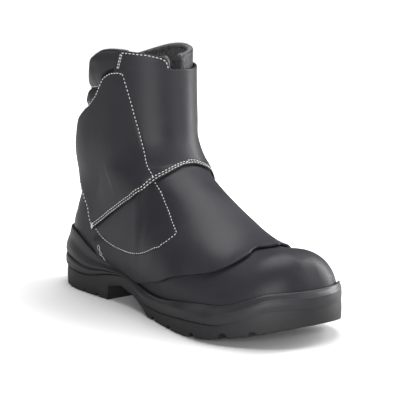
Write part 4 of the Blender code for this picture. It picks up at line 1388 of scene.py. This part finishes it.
class BOOT_OT_stage(bpy.types.Operator):
    """Set the pale floor, the studio lights and the camera"""

    bl_idname = "boot.build_stage"
    bl_label = "Stage"

    def execute(self, context):
        add_floor(tuple(context.scene.boot_colours.floor))
        add_world()
        aim = Vector((0.11, 0.0, 0.10))
        add_light("rim_softbox", (0.40, 1.45, 0.60), aim, (0.35, 1.6), 30.0)
        add_light("toe_softbox", (1.30, 0.70, 0.60), aim, (0.5, 0.9), 4.0)
        add_light("top_softbox", (-0.05, 0.15, 1.7), aim, (1.4, 1.4), 30.0)
        add_light("front_fill", (1.45, -1.05, 0.36), aim, (1.2, 0.9), 20.0)
        add_camera(context)
        return {"FINISHED"}


def add_floor(colour):
    count = 72
    turn = np.linspace(0, 2 * math.pi, count, endpoint=False)
    points = [(0.1, 0.0, 0.0)]
    faces = []
    for radius in (0.4, 0.9, 1.6):
        points += [(0.1 + radius * math.cos(t), radius * math.sin(t), 0.0) for t in turn]
    for index in range(count):
        after = (index + 1) % count
        faces.append((0, 1 + index, 1 + after))
        for ring in (0, 1):
            start = 1 + ring * count
            faces.append((start + index, start + count + index, start + count + after, start + after))
    mesh = bpy.data.meshes.new("floor")
    mesh.from_pydata(points, [], faces)
    floor = bpy.data.objects.new("floor", mesh)
    bpy.context.scene.collection.objects.link(floor)
    made, tree, shader = material("studio_floor", specular=0.1)
    where = node(tree, "ShaderNodeTexCoord").outputs["Object"]
    tone = noise_texture(tree, where, 3.0, 2.0, 0.5)
    # To the camera the floor shows its full colour, to bounced light only 0.35 of it.
    seen = node(tree, "ShaderNodeLightPath").outputs["Is Camera Ray"]
    paint = mix_colours(tree, tone, scaled(colour, 0.99), colour)
    tree.links.new(mix_colours(tree, seen, scaled(colour, 0.35), paint), shader.inputs["Base Color"])
    shader.inputs["Roughness"].default_value = 0.9
    # Painted light: the floor glows by its own emission, none close round the boot and full further out, which
    # paints the floor white and leaves a painted contact shadow round the sole.
    short = vector_node(tree, "MULTIPLY", {0: where, 1: (0.55, 1.0, 1.0)})
    reach = vector_node(tree, "DISTANCE", {0: short, 1: (0.06, 0.0, 0.0)}, "Value")
    painted_glow = remap(tree, reach, 0.07, 0.22)
    tree.links.new(mix_colours(tree, painted_glow, (0.0, 0.0, 0.0), (0.7, 0.7, 0.7)), shader.inputs["Emission Color"])
    shader.inputs["Emission Strength"].default_value = 1.0
    mesh.materials.append(made)


def add_world():
    """White to the camera and softer as a light."""
    world = bpy.data.worlds.new("studio")
    bpy.context.scene.world = world
    world.use_nodes = True
    tree = world.node_tree
    tree.nodes.clear()
    soft = node(tree, "ShaderNodeBackground", {"Color": (1.0, 1.0, 1.0, 1.0), "Strength": 0.11})
    white = node(tree, "ShaderNodeBackground", {"Color": (1.0, 1.0, 1.0, 1.0), "Strength": 1.05})
    seen = node(tree, "ShaderNodeLightPath").outputs["Is Camera Ray"]
    mixed = node(tree, "ShaderNodeMixShader", {0: seen, 1: soft.outputs[0], 2: white.outputs[0]})
    end = node(tree, "ShaderNodeOutputWorld", {"Surface": mixed.outputs[0]})
    end.is_active_output = True
    bpy.context.scene.view_settings.view_transform = "Standard"
    bpy.context.scene.view_settings.look = "None"


def add_light(name, place, aim, size, power):
    data = bpy.data.lights.new(name, "AREA")
    data.shape = "RECTANGLE"
    data.size, data.size_y = size
    data.energy = power
    made = bpy.data.objects.new(name, data)
    made.location = place
    made.rotation_mode = "QUATERNION"
    made.rotation_quaternion = (aim - Vector(place)).to_track_quat("-Z", "Y")
    bpy.context.scene.collection.objects.link(made)
    return made


def add_camera(context):
    """Camera at the photograph's angle: 52 degrees round, 11.2 up and 1.6 m away."""
    round_it, above = math.radians(52.0), math.radians(11.2)
    flat = math.cos(above)
    away = Vector((math.sin(round_it) * flat, -math.cos(round_it) * flat, math.sin(above)))
    data = bpy.data.cameras.new("camera")
    data.lens, data.sensor_width = 177.4, 36.0
    data.clip_start, data.clip_end = 0.05, 50.0
    made = bpy.data.objects.new("camera", data)
    made.location = Vector((0.1269, 0.0, 0.0935)) + away * 1.6
    made.rotation_mode = "QUATERNION"
    made.rotation_quaternion = (-away).to_track_quat("-Z", "Y")
    bpy.context.scene.collection.objects.link(made)
    context.scene.camera = made


STEPS = (BOOT_OT_sole, BOOT_OT_upper, BOOT_OT_collar, BOOT_OT_flap, BOOT_OT_stage)


class BOOT_PT_panel(bpy.types.Panel):
    bl_idname = "BOOT_PT_panel"
    bl_label = "Foundry boot"
    bl_space_type = "VIEW_3D"
    bl_region_type = "UI"
    bl_category = "Boot"

    def draw(self, context):
        for settings in (context.scene.boot_sizes, context.scene.boot_colours):
            for name in settings.__annotations__:
                self.layout.prop(settings, name)
        for step in STEPS:
            self.layout.operator(step.bl_idname)


CLASSES = (BootSizes, BootColours, *STEPS, BOOT_PT_panel)


def register():
    for made in CLASSES:
        bpy.utils.register_class(made)
    bpy.types.Scene.boot_sizes = PointerProperty(type=BootSizes)
    bpy.types.Scene.boot_colours = PointerProperty(type=BootColours)


def unregister():
    del bpy.types.Scene.boot_colours
    del bpy.types.Scene.boot_sizes
    for made in reversed(CLASSES):
        bpy.utils.unregister_class(made)


def main():
    register()
    bpy.ops.boot.build_sole()
    bpy.ops.boot.build_upper()
    bpy.ops.boot.build_collar()
    bpy.ops.boot.build_flap()
    bpy.ops.boot.build_stage()


if __name__ == "__main__":
    main()
